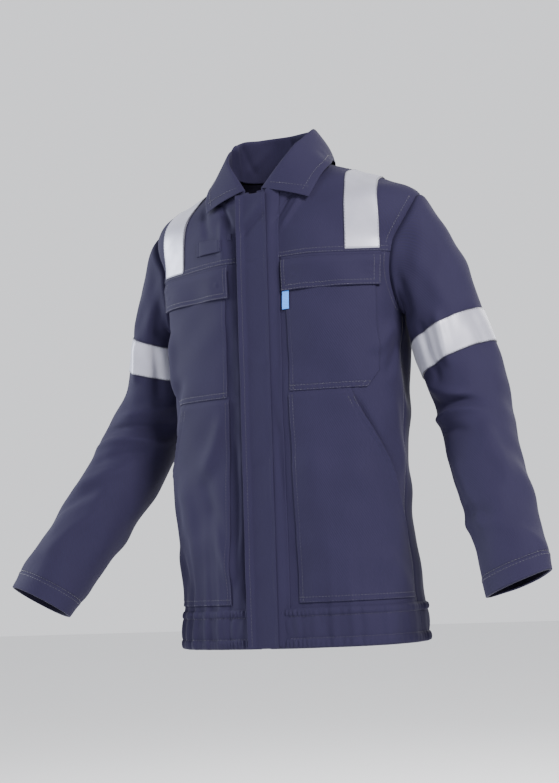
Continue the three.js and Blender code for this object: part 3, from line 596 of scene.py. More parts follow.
def turned_profile(name, profile, foot, normal, material, body_name, steps=24):
    """A round part: a profile of (radius, height) pairs carried round the normal through
    its foot. Its first and last radii are near nothing, so that both ends are shut."""
    profile = np.asarray(profile, float)
    normal = unit(normal)
    side = unit(np.cross(normal, [0.0, 0.0, 1.0]))
    other = np.cross(normal, side)
    turn = np.linspace(0, 2 * np.pi, steps, endpoint=False)
    ring = side * np.cos(turn)[:, None] + other * np.sin(turn)[:, None]
    points = foot + profile[:, 0, None, None] * ring + (profile[:, 1, None, None] * normal)
    flat = points.reshape(-1, 3)
    faces = outward(flat, ring_faces(np.arange(len(flat)).reshape(len(profile), steps)))
    return mesh_from(name, flat, faces, [material], body_name, flat[:, [0, 2]] / 1000)


# ---------------------------------------------------------------- materials
def add(tree, kind, links=None, values=None, **settings):
    """Adds one node with its settings, its sockets' values and its links."""
    made = tree.nodes.new(kind)
    for key, value in settings.items():
        setattr(made, key, value)
    for key, value in (values or {}).items():
        made.inputs[key].default_value = value
    for key, source in (links or {}).items():
        tree.links.new(source, made.inputs[key])
    return made


def surface_material(name, shader_values, base=None, rough=None, bump=None):
    """A Principled surface; base, rough and bump are functions
    that build their part of it and return a socket."""
    material = bpy.data.materials.get(name)
    if material:
        return material
    material = bpy.data.materials.new(name)
    material.use_nodes = True
    tree = material.node_tree
    tree.nodes.clear()
    links = {}
    if base:
        links["Base Color"] = base(tree)
    if rough:
        links["Roughness"] = rough(tree)
    if bump:
        links["Normal"] = bump(tree)
    shader = add(tree, "ShaderNodeBsdfPrincipled", links, shader_values)
    add(tree, "ShaderNodeOutputMaterial", {"Surface": shader.outputs["BSDF"]})
    return material


def mixed(tree, factor, low, high):
    """Colour between two colours by a factor socket."""
    mix = add(tree, "ShaderNodeMix", data_type="RGBA", blend_type="MIX")
    tree.links.new(factor, mix.inputs[0])
    mix.inputs[6].default_value, mix.inputs[7].default_value = low, high
    return mix.outputs[2]


def shade(colour, factor):
    """A colour made paler or darker by a factor."""
    return (*[min(1.0, c * factor) for c in colour[:3]], 1.0)


def twill(name, colour, spacing=0.0026, rough=0.86, sheen=0.035, depth=0.0002):
    """3/1 cotton twill, piece dyed: matt, with a faint diagonal rib, a light
    bloom at grazing angles and dye that is a little paler on ridges. A real
    rib is 0.8 mm apart; it is drawn 2.6 mm apart so that it shows at all."""
    def weave(tree):
        uv = add(tree, "ShaderNodeUVMap", uv_map="cloth")
        turn = add(tree, "ShaderNodeMapping", {"Vector": uv.outputs["UV"]},
                   {"Rotation": (0, 0, np.radians(-27))})
        rib = add(tree, "ShaderNodeTexWave", {"Vector": turn.outputs["Vector"]},
                  {"Scale": 0.314 / spacing, "Distortion": 0.9, "Detail": 2.0, "Detail Scale": 1.6},
                  bands_direction="X")
        return rib.outputs["Fac"], uv

    def base(tree):
        rib, uv = weave(tree)
        place = add(tree, "ShaderNodeTexCoord")
        cloud = add(tree, "ShaderNodeTexNoise", {"Vector": place.outputs["Object"]},
                    {"Scale": 14.0, "Detail": 4.0, "Roughness": 0.6})
        slub = add(tree, "ShaderNodeTexNoise", {"Vector": uv.outputs["UV"]}, {"Scale": 420.0, "Detail": 2.0})
        both = add(tree, "ShaderNodeMath", {0: cloud.outputs["Fac"], 1: slub.outputs["Fac"]},
                   operation="MULTIPLY_ADD")
        tree.links.new(rib, both.inputs[2])
        scaled = add(tree, "ShaderNodeMapRange", {"Value": both.outputs["Value"]},
                     {"From Min": 0.1, "From Max": 1.5})
        return mixed(tree, scaled.outputs["Result"], shade(colour, 0.82), shade(colour, 1.2))

    def bump(tree):
        rib, uv = weave(tree)
        grain = add(tree, "ShaderNodeTexNoise", {"Vector": uv.outputs["UV"]}, {"Scale": 900.0, "Detail": 2.0})
        height = add(tree, "ShaderNodeMath", {0: grain.outputs["Fac"], 1: rib}, operation="ADD")
        made = add(tree, "ShaderNodeBump", {"Height": height.outputs["Value"]},
                   {"Strength": 0.35, "Distance": depth})
        return made.outputs["Normal"]

    def roughness(tree):
        rib, _ = weave(tree)
        made = add(tree, "ShaderNodeMapRange", {"Value": rib}, {"To Min": rough - 0.05, "To Max": rough + 0.05})
        return made.outputs["Result"]

    return surface_material(name,
                            {"Sheen Weight": sheen, "Sheen Roughness": 0.45, "Sheen Tint": shade(colour, 7.0),
                             "Specular IOR Level": 0.14}, base, roughness, bump)


def navy_twill():
    """The twill's right side."""
    return twill("navy_fr_twill", colour_of("navy"))


def lining_twill():
    """The twill's wrong side, duller because the weft shows."""
    return twill("navy_twill_wrong_side", colour_of("lining"), rough=0.92, sheen=0.03)


def bead_tape():
    """Retroreflective tape: glass beads on an aluminised fabric, woven backing. It looks pale grey and satin,
    with a fine grit; 0.08 mm beads are drawn as 1.2 mm grit. Both long edges get painted shadow in dark navy."""
    silver = colour_of("silver")

    def base(tree):
        uv = add(tree, "ShaderNodeUVMap", uv_map="cloth")
        cloud = add(tree, "ShaderNodeTexNoise", {"Vector": uv.outputs["UV"]},
                    {"Scale": 26.0, "Detail": 4.0, "Roughness": 0.65})
        face = mixed(tree, cloud.outputs["Fac"], shade(silver, 0.80), shade(silver, 1.12))
        # Painted shadow: within 1.3 mm of either long edge the colour turns dark navy, standing in for the
        # shade at the stitched edges.
        apart = add(tree, "ShaderNodeSeparateXYZ", {"Vector": uv.outputs["UV"]})
        middle = add(tree, "ShaderNodeMath", {0: apart.outputs["X"]}, {1: TAPE_WIDTH / 2000},
                     operation="SUBTRACT")
        aside = add(tree, "ShaderNodeMath", {0: middle.outputs["Value"]}, operation="ABSOLUTE")
        edge = add(tree, "ShaderNodeMath", {0: aside.outputs["Value"]}, {1: TAPE_WIDTH / 2000 - 0.0013},
                   operation="GREATER_THAN")
        mix = add(tree, "ShaderNodeMix", {0: edge.outputs["Value"], 6: face},
                  {7: shade(colour_of("navy"), 0.8)}, data_type="RGBA")
        return mix.outputs[2]

    def bump(tree):
        uv = add(tree, "ShaderNodeUVMap", uv_map="cloth")
        grit = add(tree, "ShaderNodeTexVoronoi", {"Vector": uv.outputs["UV"]}, {"Scale": 830.0})
        return add(tree, "ShaderNodeBump", {"Height": grit.outputs["Distance"]},
                   {"Strength": 0.12, "Distance": 0.0002}).outputs["Normal"]

    def rough(tree):
        uv = add(tree, "ShaderNodeUVMap", uv_map="cloth")
        cloud = add(tree, "ShaderNodeTexNoise", {"Vector": uv.outputs["UV"]}, {"Scale": 60.0, "Detail": 3.0})
        return add(tree, "ShaderNodeMapRange", {"Value": cloud.outputs["Fac"]},
                   {"To Min": 0.38, "To Max": 0.56}).outputs["Result"]

    return surface_material("bead_coated_tape", {"Metallic": 0.25, "Sheen Weight": 0.1}, base, rough, bump)


def spun_thread():
    """Aramid sewing thread: a matt twisted yarn, a shade paler than the twill, its twist drawn 1 mm apart."""
    thread = colour_of("thread")

    def base(tree):
        place = add(tree, "ShaderNodeTexCoord")
        twist = add(tree, "ShaderNodeTexNoise", {"Vector": place.outputs["Object"]}, {"Scale": 1000.0})
        return mixed(tree, twist.outputs["Fac"], shade(thread, 0.7), shade(thread, 1.3))

    return surface_material("spun_aramid_thread", {"Roughness": 0.8, "Sheen Weight": 0.2}, base)


def worn_metal(name, colour, rough):
    """Die-cast or rolled metal with a satin finish: fine scratches break its highlights up."""
    def base(tree):
        place = add(tree, "ShaderNodeTexCoord")
        mottle = add(tree, "ShaderNodeTexNoise", {"Vector": place.outputs["Object"]},
                     {"Scale": 300.0, "Detail": 4.0})
        return mixed(tree, mottle.outputs["Fac"], shade(colour, 0.75), shade(colour, 1.15))

    def roughness(tree):
        place = add(tree, "ShaderNodeTexCoord")
        wear = add(tree, "ShaderNodeTexNoise", {"Vector": place.outputs["Object"]},
                   {"Scale": 700.0, "Detail": 3.0})
        return add(tree, "ShaderNodeMapRange", {"Value": wear.outputs["Fac"]},
                   {"To Min": rough - 0.08, "To Max": rough + 0.12}).outputs["Result"]

    return surface_material(name, {"Metallic": 1.0}, base, roughness)


def woven_band(name, colour, spacing, rough=0.7):
    """Plain-woven polyester ribbon: fine cross ribs with a slight satin shine."""
    def ribs(tree):
        uv = add(tree, "ShaderNodeUVMap", uv_map="cloth")
        return add(tree, "ShaderNodeTexWave", {"Vector": uv.outputs["UV"]},
                   {"Scale": 0.314 / spacing, "Distortion": 0.5}, bands_direction="Y").outputs["Fac"]

    def base(tree):
        return mixed(tree, ribs(tree), shade(colour, 0.82), shade(colour, 1.12))

    def bump(tree):
        return add(tree, "ShaderNodeBump", {"Height": ribs(tree)},
                   {"Strength": 0.3, "Distance": 0.0001}).outputs["Normal"]

    return surface_material(name, {"Roughness": rough, "Sheen Weight": 0.15}, base, None, bump)


# ---------------------------------------------------------------- sleeves
def sleeve_table(side):
    """Distance down the sleeve at each station, by chords, beside its centre and half sizes."""
    stations = np.array(STATIONS[side], float)
    return np.column_stack([HEAD + run_along(stations[:, :3]), stations])


def rim(side, share, off=0.3):
    """The armhole's edge at a share of the way round from its top down the front, as on a left sleeve."""
    share = np.asarray(share, float) % 1
    v = armhole_height(share)
    deg = 90 + np.where(share <= 0.5, -FRONT_CUT_DEG, BACK_CUT_DEG) * armhole_curve(v)
    return body(SIDES[side] * deg, v, off) * [SIDES[side], 1, 1]


def sleeve_ring(side, share, s):
    """An ellipse square to the sleeve's centre line: out by cos and ahead by sin of the turn."""
    table = sleeve_table(side)
    end = table[-1, 0]
    way = unit(along(table, np.minimum(s + 1, end))[..., :3] - along(table, np.maximum(s - 1, HEAD))[..., :3])
    at = along(table, s)
    ahead = unit(np.array([0.0, -1.0, 0.0]) + way * way[..., 1:2])
    out = unit(np.cross(ahead, way))
    out = np.where(out[..., :1] < 0, -out, out)
    turn = 2 * np.pi * share
    aside = out * (at[..., 3] * np.cos(turn))[..., None]
    return at[..., :3] + aside + ahead * (at[..., 4] * np.sin(turn))[..., None]


def sleeve_base(side, share, s):
    """Below the head a ring; in the head a cubic Bezier from the
    armhole's rim, leaving it sideways, to the first ring."""
    share, s = np.broadcast_arrays(np.asarray(share, float), np.asarray(s, float))
    table = sleeve_table(side)
    middle = rim(side, np.arange(16) / 16).mean(0)
    t = np.clip(s / HEAD, 0, 1)[..., None]
    top = (0.5 + 0.5 * np.cos(2 * np.pi * share))[..., None]
    edge = rim(side, share)
    edge = edge + 0.5 * unit(middle - edge)
    ring = sleeve_ring(side, share, np.full(share.shape, HEAD))
    way = unit(along(table, HEAD + 1.0)[:3] - along(table, HEAD)[:3])
    p1 = edge + (np.array([1, 0, -0.12]) + [0, 0, 0.2] * top) * (16 + 8 * top)
    p2 = ring - way * (25 + 6 * top)
    head = (1 - t) ** 3 * edge + 3 * (1 - t) ** 2 * t * p1 + 3 * (1 - t) * t * t * p2 + t**3 * ring
    end = table[-1, 0]
    past = np.maximum(s - end, 0)[..., None] * unit(along(table, end)[:3] - along(table, end - 1.0)[:3])
    return np.where((s < HEAD)[..., None], head, sleeve_ring(side, share, np.clip(s, HEAD, end)) + past)


def sleeve_drape(side, share, s, at):
    """Folds and ripples of the worn sleeve, with a roll of cloth
    just outside the armhole seam; flat at rim and cuff."""
    folds = np.array(SLEEVE_FOLDS[side]) * [SLEEVE_ROUND, 1, SLEEVE_ROUND, 1, 1, 1]
    turn = (share % 1) * SLEEVE_ROUND
    total = sum(ridges(turn + k * SLEEVE_ROUND, s, folds) for k in (-1, 0, 1))
    total = total + 0.8 * ripple(at, 84, 21) + 0.35 * ripple(at, 34, 22)
    end = sleeve_table(side)[-1, 0]
    roll = np.exp(-((s - 10) / 7) ** 2) - np.exp(-((s - 1) / 2.5) ** 2)
    fade = ease(s / 14) * (0.25 + 0.75 * ease((end - s) / 46))
    return SLEEVE_DEPTH * sizes().fold_depth * total * fade + roll


def sleeve(side, share, s, off=0.0):
    """The worn sleeve's surface, moved out by off along the
    plain sleeve's normal, on its own side of the body."""
    share, s, off = np.broadcast_arrays(np.asarray(share, float), np.asarray(s, float), np.asarray(off, float))
    end = sleeve_table(side)[-1, 0]
    at = np.clip(s, 1.0, end - 1)
    base = sleeve_base(side, share, s)
    across = sleeve_base(side, share + 0.01, at) - sleeve_base(side, share - 0.01, at)
    up = sleeve_base(side, share, at + 1) - sleeve_base(side, share, at)
    points = base + unit(np.cross(across, up)) * (off + sleeve_drape(side, share, s, base))[..., None]
    return points * [SIDES[side], 1, 1]


def tape_line(side, share, s):
    """The sleeve tape slopes: lower at the inner side and higher at the outer by a cosine of the turn."""
    down, tilt = TAPE_SLOPE[side]
    return s + down - tilt * np.cos(2 * np.pi * share)


def cuff_line(side, share, s):
    """Over its last 120 mm the arm is longer in front than behind, by a sine of the turn."""
    end = sleeve_table(side)[-1, 0]
    return s + CUFF_SLANT[side] * np.sin(2 * np.pi * share) * ease((s - end + 120) / 110)


def sleeve_piece(name, side, rows, low, high, materials, body_name, lift=None, thin_ends="t", lead=None,
                 sink=0.0, slope=False):
    """A tube of cloth between two distances down a sleeve. lead
    is the armhole ring it starts from, sunk into the body."""
    share, s = np.meshgrid(np.arange(sizes().sleeve_columns) / sizes().sleeve_columns, rows)
    extra = lift(share, s) if lift else 0.0
    full = np.ones(s.shape)
    for end, distance in (("t", rows[-1] - s), ("b", s - rows[0])):
        if end in thin_ends:
            full = np.minimum(full, turned(distance, 1000 * sizes().edge_radius))
    at = tape_line(side, share, s) if slope else cuff_line(side, share, s)
    outer = sleeve(side, share, at, low + (high - low) * full + extra)
    inner = sleeve(side, share, at, np.full(s.shape, low) + np.minimum(extra, 0)
                   - sink * ease((s - rows[-1] + CUFF_HEM) / 3))
    if lead is not None:
        mirror = [SIDES[side], 1, 1]
        outer = np.concatenate([(rim(side, share[:1], -lead) * mirror), outer])
        inner = np.concatenate([(rim(side, share[:1], -lead - 1.4) * mirror), inner])
        share, s = np.concatenate([share[:1], share]), np.concatenate([s[:1] - lead, s])
    uv = np.stack([SIDES[side] * share * SLEEVE_ROUND / 1000, s / 1000], -1)
    # The wrapped column needs its own corners, so the sheet is closed by a repeat of the first column.
    close = lambda grid: np.concatenate([grid, grid[:, :1]], 1)
    uv = np.concatenate([uv, uv[:, :1] + [SIDES[side] * SLEEVE_ROUND / 1000, 0]], 1)
    return tube_sheet(name, close(outer), close(inner), uv, materials, body_name)


def tube_sheet(name, outer, inner, uv, materials, body_name):
    """A closed tube of cloth whose last column repeats its
    first: the two are welded, and corners keep their UVs."""
    rows, columns = outer.shape[:2]
    span = columns - 1
    ids = np.arange(rows * span).reshape(rows, span)
    ids = np.concatenate([ids, ids[:, :1]], 1)
    corner = np.arange(rows * columns).reshape(rows, columns)
    count = rows * span
    ends = lambda g, h: np.concatenate([np.stack([g[0, 1:], g[0, :-1], h[0, :-1], h[0, 1:]], -1),
                                        np.stack([g[-1, :-1], g[-1, 1:], h[-1, 1:], h[-1, :-1]], -1)])
    one = grid_faces(ids)
    faces = np.concatenate([one, ends(ids, ids + count), one[:, ::-1] + count])
    corners = np.concatenate([grid_faces(corner), ends(corner, corner), grid_faces(corner)[:, ::-1]])
    points = np.concatenate([outer[:, :-1].reshape(-1, 3), inner[:, :-1].reshape(-1, 3)])
    if volume_of(points - points.mean(0), faces) < 0:
        faces, corners = faces[:, ::-1], corners[:, ::-1]
    picks = np.repeat([0, min(1, len(materials) - 1)], [len(one) + 2 * span, len(one)])
    obj = mesh_from(name, points, faces, materials, body_name, None, picks)
    flat = uv.reshape(-1, 2)[corners.ravel()]
    obj.data.uv_layers["cloth"].data.foreach_set("uv", flat.astype(np.float32).ravel())
    return obj


def cord_mesh(name, path, across, up, wide, thick, material, body_name, closed=False, steps=10):
    """An ellipse carried along a path, with across and up
    as its axes; its ends meet, or flat caps shut them."""
    turn = np.linspace(0, 2 * np.pi, steps, endpoint=False)[:, None]
    points = path[:, None] + across[:, None] * wide * np.cos(turn) + up[:, None] * thick * np.sin(turn)
    ids = np.arange(len(path) * steps).reshape(len(path), steps)
    faces = ring_faces(np.concatenate([ids, ids[:1]]) if closed else ids)
    if not closed:
        half = steps // 2
        fan = np.arange(half - 1)
        cap = np.stack([fan, fan + 1, steps - 2 - fan, steps - 1 - fan], -1)
        faces = np.concatenate([faces, cap[:, ::-1], cap + ids[-1, 0]])
    flat = points.reshape(-1, 3)
    return mesh_from(name, flat, outward(flat, faces), [material], body_name, flat[:, [0, 2]] / 1000)


# ---------------------------------------------------------------- making each group of pieces
def channel_lift(deg, v):
    """The waistband's channels: half circles of puff between its stitched rows, gathered by the elastic."""
    wide = np.abs(from_front(deg))
    right = from_front(deg) < 0
    drawn = np.where(right, 1.0, 0.3 + 0.5 * (1 - ease((wide - 22) / 14))) * ease((wide - 10) / 6)
    drawn = np.where(wide > 90, 0.75, drawn)
    x = wide * MM_PER_DEG
    depth = 1000 * sizes().gather_depth
    fine = np.sin(2 * np.pi * x / 7.6 + 1.4 * np.sin(x * 0.071)) + 0.4 * np.sin(2 * np.pi * x / 12.5 + 1.0)
    broad = np.sin(2 * np.pi * x / 31 + 1.1 * np.sin(x * 0.05 + v * 0.06))
    broad = broad + 0.5 * np.sin(2 * np.pi * x / 17 + v * 0.05)
    total = np.zeros(np.broadcast(deg, v).shape)
    for low, high, puff, wave in zip(BAND_ROWS[:-1], BAND_ROWS[1:], (2.5, 1.3, 2.5), (fine, 0.7 * broad, fine)):
        t = np.clip((v - low) / (high - low), 0, 1)
        bulge = np.sqrt(np.clip(4 * t * (1 - t), 0, 1))
        total = np.maximum(total, puff * bulge) + np.where((t > 0) & (t < 1), depth * drawn * wave * bulge, 0)
    return total


def groove(distance, depth=0.8, width=1.7):
    """A stitched seam draws the cloth in: a bell curve of the distance from it."""
    return -depth * np.exp(-(distance / width) ** 2)


def pucker(run, distance, height=0.35):
    """Short ripples square to a seam that die away from it."""
    wave = np.sin(2 * np.pi * run / 11) + 0.6 * np.sin(2 * np.pi * run / 7.3 + 1)
    return height * wave * np.exp(-np.abs(distance) / 6)


def make_shell():
    """Fronts and back from the waistband to the yoke seams, and the yokes lapped over them up to the neck."""
    cell = 1000 * sizes().cell / MM_PER_DEG
    cloth = [navy_twill(), lining_twill()]
    fronts = ticks(PANEL_START_DEG, 90, cell, 0.8)
    backs = ticks(90, 270, cell)
    from_side = lambda deg: (90 - np.abs(from_front(deg))) * MM_PER_DEG
    side_seam = lambda deg, v: groove(from_side(deg), 0.9) * (v < ARMHOLE_LOW)
    shoulder = lambda deg, v: groove(from_side(deg), 0.7) * (v > ARMHOLE_HIGH)

    def panel_lift(deg, v):
        wide = np.abs(from_front(deg))
        beyond = (wide - mouth_edge(v)) * MM_PER_DEG
        sunk = np.exp(-((beyond - 1) / 3.5) ** 2) * ease((v - 110) / 40) * ease((350 - v) / 20) * (wide < 90)
        return -3.0 * sunk + side_seam(deg, v) + pucker(deg * MM_PER_DEG, v - YOKE_V, 0.25)

    def yoke_lift(seam):
        def lift(deg, v):
            low = v - seam
            return (1.2 * (1 - ease(low / 16)) + shoulder(deg, v) + pucker(deg * MM_PER_DEG, low - 4, 0.3)
                    + groove(low - 2.2, 0.35, 1.0) + groove(low - 8.5, 0.35, 1.0))
        return lift

    front_rows = ticks(BAND_HEIGHT - 3, YOKE_V + 5, 1000 * sizes().cell)
    back_rows = ticks(BAND_HEIGHT - 3, BACK_SEAM_V + 5, 1000 * sizes().cell)
    yoke_rows = lambda seam: np.concatenate([ticks(seam - 1, seam + 16, 1.3, 1.6),
                                             np.arange(seam + 19, NECK_V, 3.0), [NECK_V]])
    for side, sign in SIDES.items():
        mirror = sign < 0
        piece = body_sheet(f"front_{side}", fronts, front_rows, *LAYERS["panel"], cloth, front_angle, "l",
                           panel_lift, mirror)
        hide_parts(f"front_panel_{side}")
        piece = body_sheet(f"yoke_{side}", fronts, yoke_rows(YOKE_V), *LAYERS["panel"], cloth, front_angle,
                           "lb", yoke_lift(YOKE_V), mirror)
        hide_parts(f"front_yoke_{side}")
    piece = body_sheet("back", backs, back_rows, *LAYERS["panel"], cloth, back_angle, "", panel_lift)
    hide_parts("back_panel")
    piece = body_sheet("yoke_back", backs, yoke_rows(BACK_SEAM_V), *LAYERS["panel"], cloth, back_angle, "b",
                       yoke_lift(BACK_SEAM_V))
    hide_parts("back_yoke")


def make_waistband():
    """The band: three puffed channels round the hem, with a turned edge under the panels."""
    channels = zip(BAND_ROWS[:-1], BAND_ROWS[1:])
    rows = np.unique(np.concatenate([np.linspace(a, b, int((b - a) / 1.3) + 1) for a, b in channels]))
    rows = np.concatenate([rows, [BAND_HEIGHT + 0.7, BAND_HEIGHT + 1.4]])
    cloth = [navy_twill(), lining_twill()]
    for side, sign in SIDES.items():
        piece = body_sheet(f"band_{side}", ticks(PANEL_START_DEG, 90, 0.6, 0.6), rows, *LAYERS["band"], cloth,
                           None, "lbt", channel_lift, sign < 0)
        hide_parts(f"waistband_front_{side}")
    piece = body_sheet("band_back", np.linspace(90, 270, 320), rows, *LAYERS["band"], cloth, None, "bt",
                       channel_lift)
    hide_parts("waistband_back")


def make_inside():
    """Facings, the neck label and the elastic inside the band."""
    lining = lining_twill()
    facing_rows = ticks(4, NECK_V - 4, 6, 1.6)
    for side, sign in SIDES.items():
        mirror = sign < 0
        piece = body_sheet(f"facing_{side}", ticks(8.6, 26, 2, 0.6), facing_rows, *LAYERS["facing"], [lining],
                           None, "lrbt", None, mirror)
        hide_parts(f"front_facing_{side}")
        elastic = woven_band("ribbed_elastic", shade(colour_of("lining"), 1.3), 0.0022, 0.9)
        wave = lambda deg, v: 0.4 * np.sin(deg * 2.6)
        piece = body_sheet(f"elastic_{side}", ticks(36, 84, 0.8, 0.6), ticks(8, 42, 4, 1.2), *LAYERS["elastic"],
                           [elastic], None, "lrbt", wave, mirror)
        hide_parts(f"band_elastic_{side}")
    piece = body_sheet("neck_facing_cloth", ticks(97.5, 262.5, 2, 0.6), ticks(694.4, NECK_V - 4, 4, 1.6),
                       *LAYERS["neck_facing"], [lining], None, "lrbt")
    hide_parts("neck_facing")
    label = woven_band("satin_label", colour_of("label"), 0.0012, 0.5)
    piece = body_sheet("label", ticks(168, 192, 2, 0.6), ticks(650, 680, 3, 1.2), *LAYERS["label"], [label],
                       None, "lrbt")
    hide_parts("size_label")


def make_zip():
    """Tapes, interlocking teeth, box, stop, slider and ring pull."""
    tape = woven_band("woven_zip_tape", colour_of("zip_tape"), 0.0016, 0.85)
    metal = worn_metal("antique_brass", colour_of("brass"), 0.34)
    for side, sign in SIDES.items():
        piece = body_sheet(f"tape_{side}", ticks(1.8, 8, 1, 0.5), ticks(18, NECK_V - 6, 8, 1),
                           *LAYERS["zip_tape"], [tape], None, "lr", None, sign < 0)
        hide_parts(f"zip_tape_{side}")
        pitch = 1000 * sizes().tooth_pitch
        z = np.arange(17 + (0 if sign > 0 else pitch / 2), ZIP_TOP_Z + 6, pitch)
        # A tooth is a block that narrows to its nose: x from the tape to past the middle, eight corners.
        x = np.array([3.0, -0.55]) * sign
        tall = np.array([0.75, 0.5])
        corner = np.array([[x[i], z_sign * tall[i], off] for i in (0, 1) for z_sign in (-1, 1)
                           for off in (-1.3, -3.9)])
        at = front_line(corner[:, 0], z[:, None] + corner[:, 1], corner[:, 2])
        block = np.array([[0, 2, 3, 1], [4, 5, 7, 6], [0, 1, 5, 4], [2, 6, 7, 3], [0, 4, 6, 2], [1, 3, 7, 5]])
        faces = (outward(at[0], block)[None] + 8 * np.arange(len(z))[:, None, None]).reshape(-1, 4)
        flat = at.reshape(-1, 3)
        piece = mesh_from(f"teeth_{side}", flat, faces, [metal], TORSO, flat[:, [0, 2]] / 1000, smooth=False)
        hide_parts(f"zip_teeth_{side}")
    for name in ("zip_bottom_box", "zip_top_stop"):
        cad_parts[name].data.materials.clear()
        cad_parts[name].data.materials.append(metal)
    # Slider: two teardrop plates joined by a bridge.
    t = np.linspace(0, 1, 15)
    z = ZIP_TOP_Z + 5.5 - 11 * t
    half = 4.6 * (np.sin(np.pi * np.clip(t, 0.02, 0.98)) ** 0.35) * (1 - 0.22 * t)
    for low, high in ((-0.8, 0.4), (-5.6, -4.4)):
        grid = np.stack([front_line(u * half, z, np.full(15, high) + 0.3 * (1 - u * u))
                         for u in np.linspace(-1, 1, 9)], 1)
        under = np.stack([front_line(u * half, z, np.full(15, low)) for u in np.linspace(-1, 1, 9)], 1)
        sheet(f"slider_{'front' if low > -2 else 'back'}", grid, under, grid[..., [0, 2]] / 1000,
                            [metal], "zip_slider")
    x, z = np.meshgrid(np.linspace(-0.45, 0.45, 3), np.linspace(ZIP_TOP_Z - 1, ZIP_TOP_Z + 5, 6))
    bridge = sheet("slider_bridge", front_line(x, z, -0.5), front_line(x, z, -4.9), np.stack([x, z], -1) / 1000,
                   [metal], "zip_slider")
    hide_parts("zip_slider")
    # Pull: a flat stadium ring hanging from a lug.
    a = np.linspace(0, 2 * np.pi, 48, endpoint=False)
    x, run = 2.2 * np.cos(a), 10.2 * np.sign(np.sin(a)) * np.abs(np.sin(a)) ** 0.55
    path = front_line(x, ZIP_TOP_Z - 9 + run, 1.5)
    out = np.broadcast_to(unit(np.array([0, -1, -FRONT_LEAN])), path.shape)
    way = unit(np.roll(path, -1, 0) - np.roll(path, 1, 0))
    pull = cord_mesh("ring_pull", path, unit(np.cross(way, out)), out, 0.8, 0.55, metal, "zip_slider", True, 8)
    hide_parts("zip_pull")


def flap_wave(x, z):
    """The storm flap's own folds: prouder at its free edge,
    with slow waves and slanted creases, held at its seam."""
    at = np.stack([x, np.zeros_like(x), z], -1)
    free = ease((x + FLAP_HALF_WIDTH) / 14)
    crease = ridges(x, z, STORM_FLAP_FOLDS)
    seam = groove(z - YOKE_V + 4 - 0.12 * x, 0.9, 1.4)
    wave = 0.55 * ripple(at, 95, 31) + 0.3 * ripple(at, 40, 32) + 4.0 * (1 - free) + crease + seam
    return wave * ease((FLAP_HALF_WIDTH - x) / 5 + 0.3)


def make_storm_flap():
    """The flap stands in front of the zip on a sloping seam allowance, its three free edges turned."""
    cloth = [navy_twill(), navy_twill()]
    radius = 1000 * sizes().edge_radius
    x, z = np.meshgrid(ticks(-FLAP_HALF_WIDTH, FLAP_HALF_WIDTH - 0.5, 2.2, radius),
                       ticks(1, FLAP_TOP_Z, 3, radius))
    share = np.minimum.reduce([turned(x + FLAP_HALF_WIDTH, radius), turned(z - 1, radius),
                               turned(FLAP_TOP_Z - z, radius)])
    seam = groove(x - 18.5, 0.7, 1.3) + groove(x + 17.5, 0.25, 1.2)
    middle = FLAP_STAND + FLAP_CLOTH / 2 + flap_wave(x, z)
    outer = front_line(x, z, middle + FLAP_CLOTH / 2 * share + seam)
    inner = front_line(x, z, middle - FLAP_CLOTH / 2 * share)
    piece = sheet("storm_flap_cloth", outer, inner, np.stack([x, z], -1) / 1000, cloth, "storm_flap")
    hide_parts("storm_flap")
    aside = lambda deg, v: np.sin(np.radians(deg)) * np.linalg.norm(body_base(deg, v)[..., :2], axis=-1)
    ramp = lambda deg, v: 3.3 * (1 - ease((aside(deg, v) - 22.5) / 15))
    columns = ticks(20.5 / MM_PER_DEG, 40 / MM_PER_DEG, 0.5, 0.4)
    warp = lambda deg, v: angle_at(deg * MM_PER_DEG, v)
    piece = body_sheet("flap_seam", columns, ticks(3, NECK_V - 6, 4, 1), *LAYERS["flap_seam"], cloth, warp,
                       "rbt", ramp)
    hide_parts("storm_flap_seam")


def pocket_edges():
    """Angles of the chest pocket's inner edge, and of its flap's."""
    inner = float(angle_at(POCKET_INNER_X, 450.0))
    flap_inner = float(angle_at(POCKET_INNER_X - 7, 530.0))
    return inner, flap_inner


def lower_pocket_edge():
    """Angle of the lower pocket's inner edge."""
    return float(angle_at(POCKET_INNER_X + 2, 200.0))


def pocket_cut(deg, v):
    """The chest pocket's lower outer corner is cut at a slant."""
    return deg - 5.5 * np.clip((CHEST_POCKET_LOW + 24 - v) / 24, 0, 1) * np.clip((deg - 60) / 12, 0, 1)


def crown(deg, v, low_deg, high_deg, low_v, high_v, height):
    """A patch stands off in its middle: height times (1 - u^4)(1 - w^4)."""
    u = 2 * (deg - low_deg) / (high_deg - low_deg) - 1
    w = 2 * (v - low_v) / (high_v - low_v) - 1
    return height * np.clip(1 - u**4, 0, 1) * np.clip(1 - w**4, 0, 1)


def stud_angles():
    """Angles of a chest flap's inner and outer press studs."""
    return pocket_edges()[1] + CHEST_STUD_INSETS[0], FLAP_END_DEG - CHEST_STUD_INSETS[1]


def flap_lift(deg, v):
    """The chest flap: down on the cloth at its top, bowed
    between its two studs, each a small dome in a dimple."""
    _, inner = pocket_edges()
    total = -2.4 * ease((v - CHEST_FLAP_TOP + 13) / 12)
    drop = ease((CHEST_FLAP_TOP - 10 - v) / 34)
    total = total + drop * (0.9 * np.sin((deg - inner) * 0.17 + 0.6) + 0.7 * np.sin(deg * 0.31 + 2))
    for stud in stud_angles():
        far = np.hypot((deg - stud) * MM_PER_DEG, v - CHEST_STUD_V)
        total = total + 1.2 * np.exp(-(far / 4.2) ** 2) - 1.3 * np.exp(-(far / 11) ** 2)
    return total


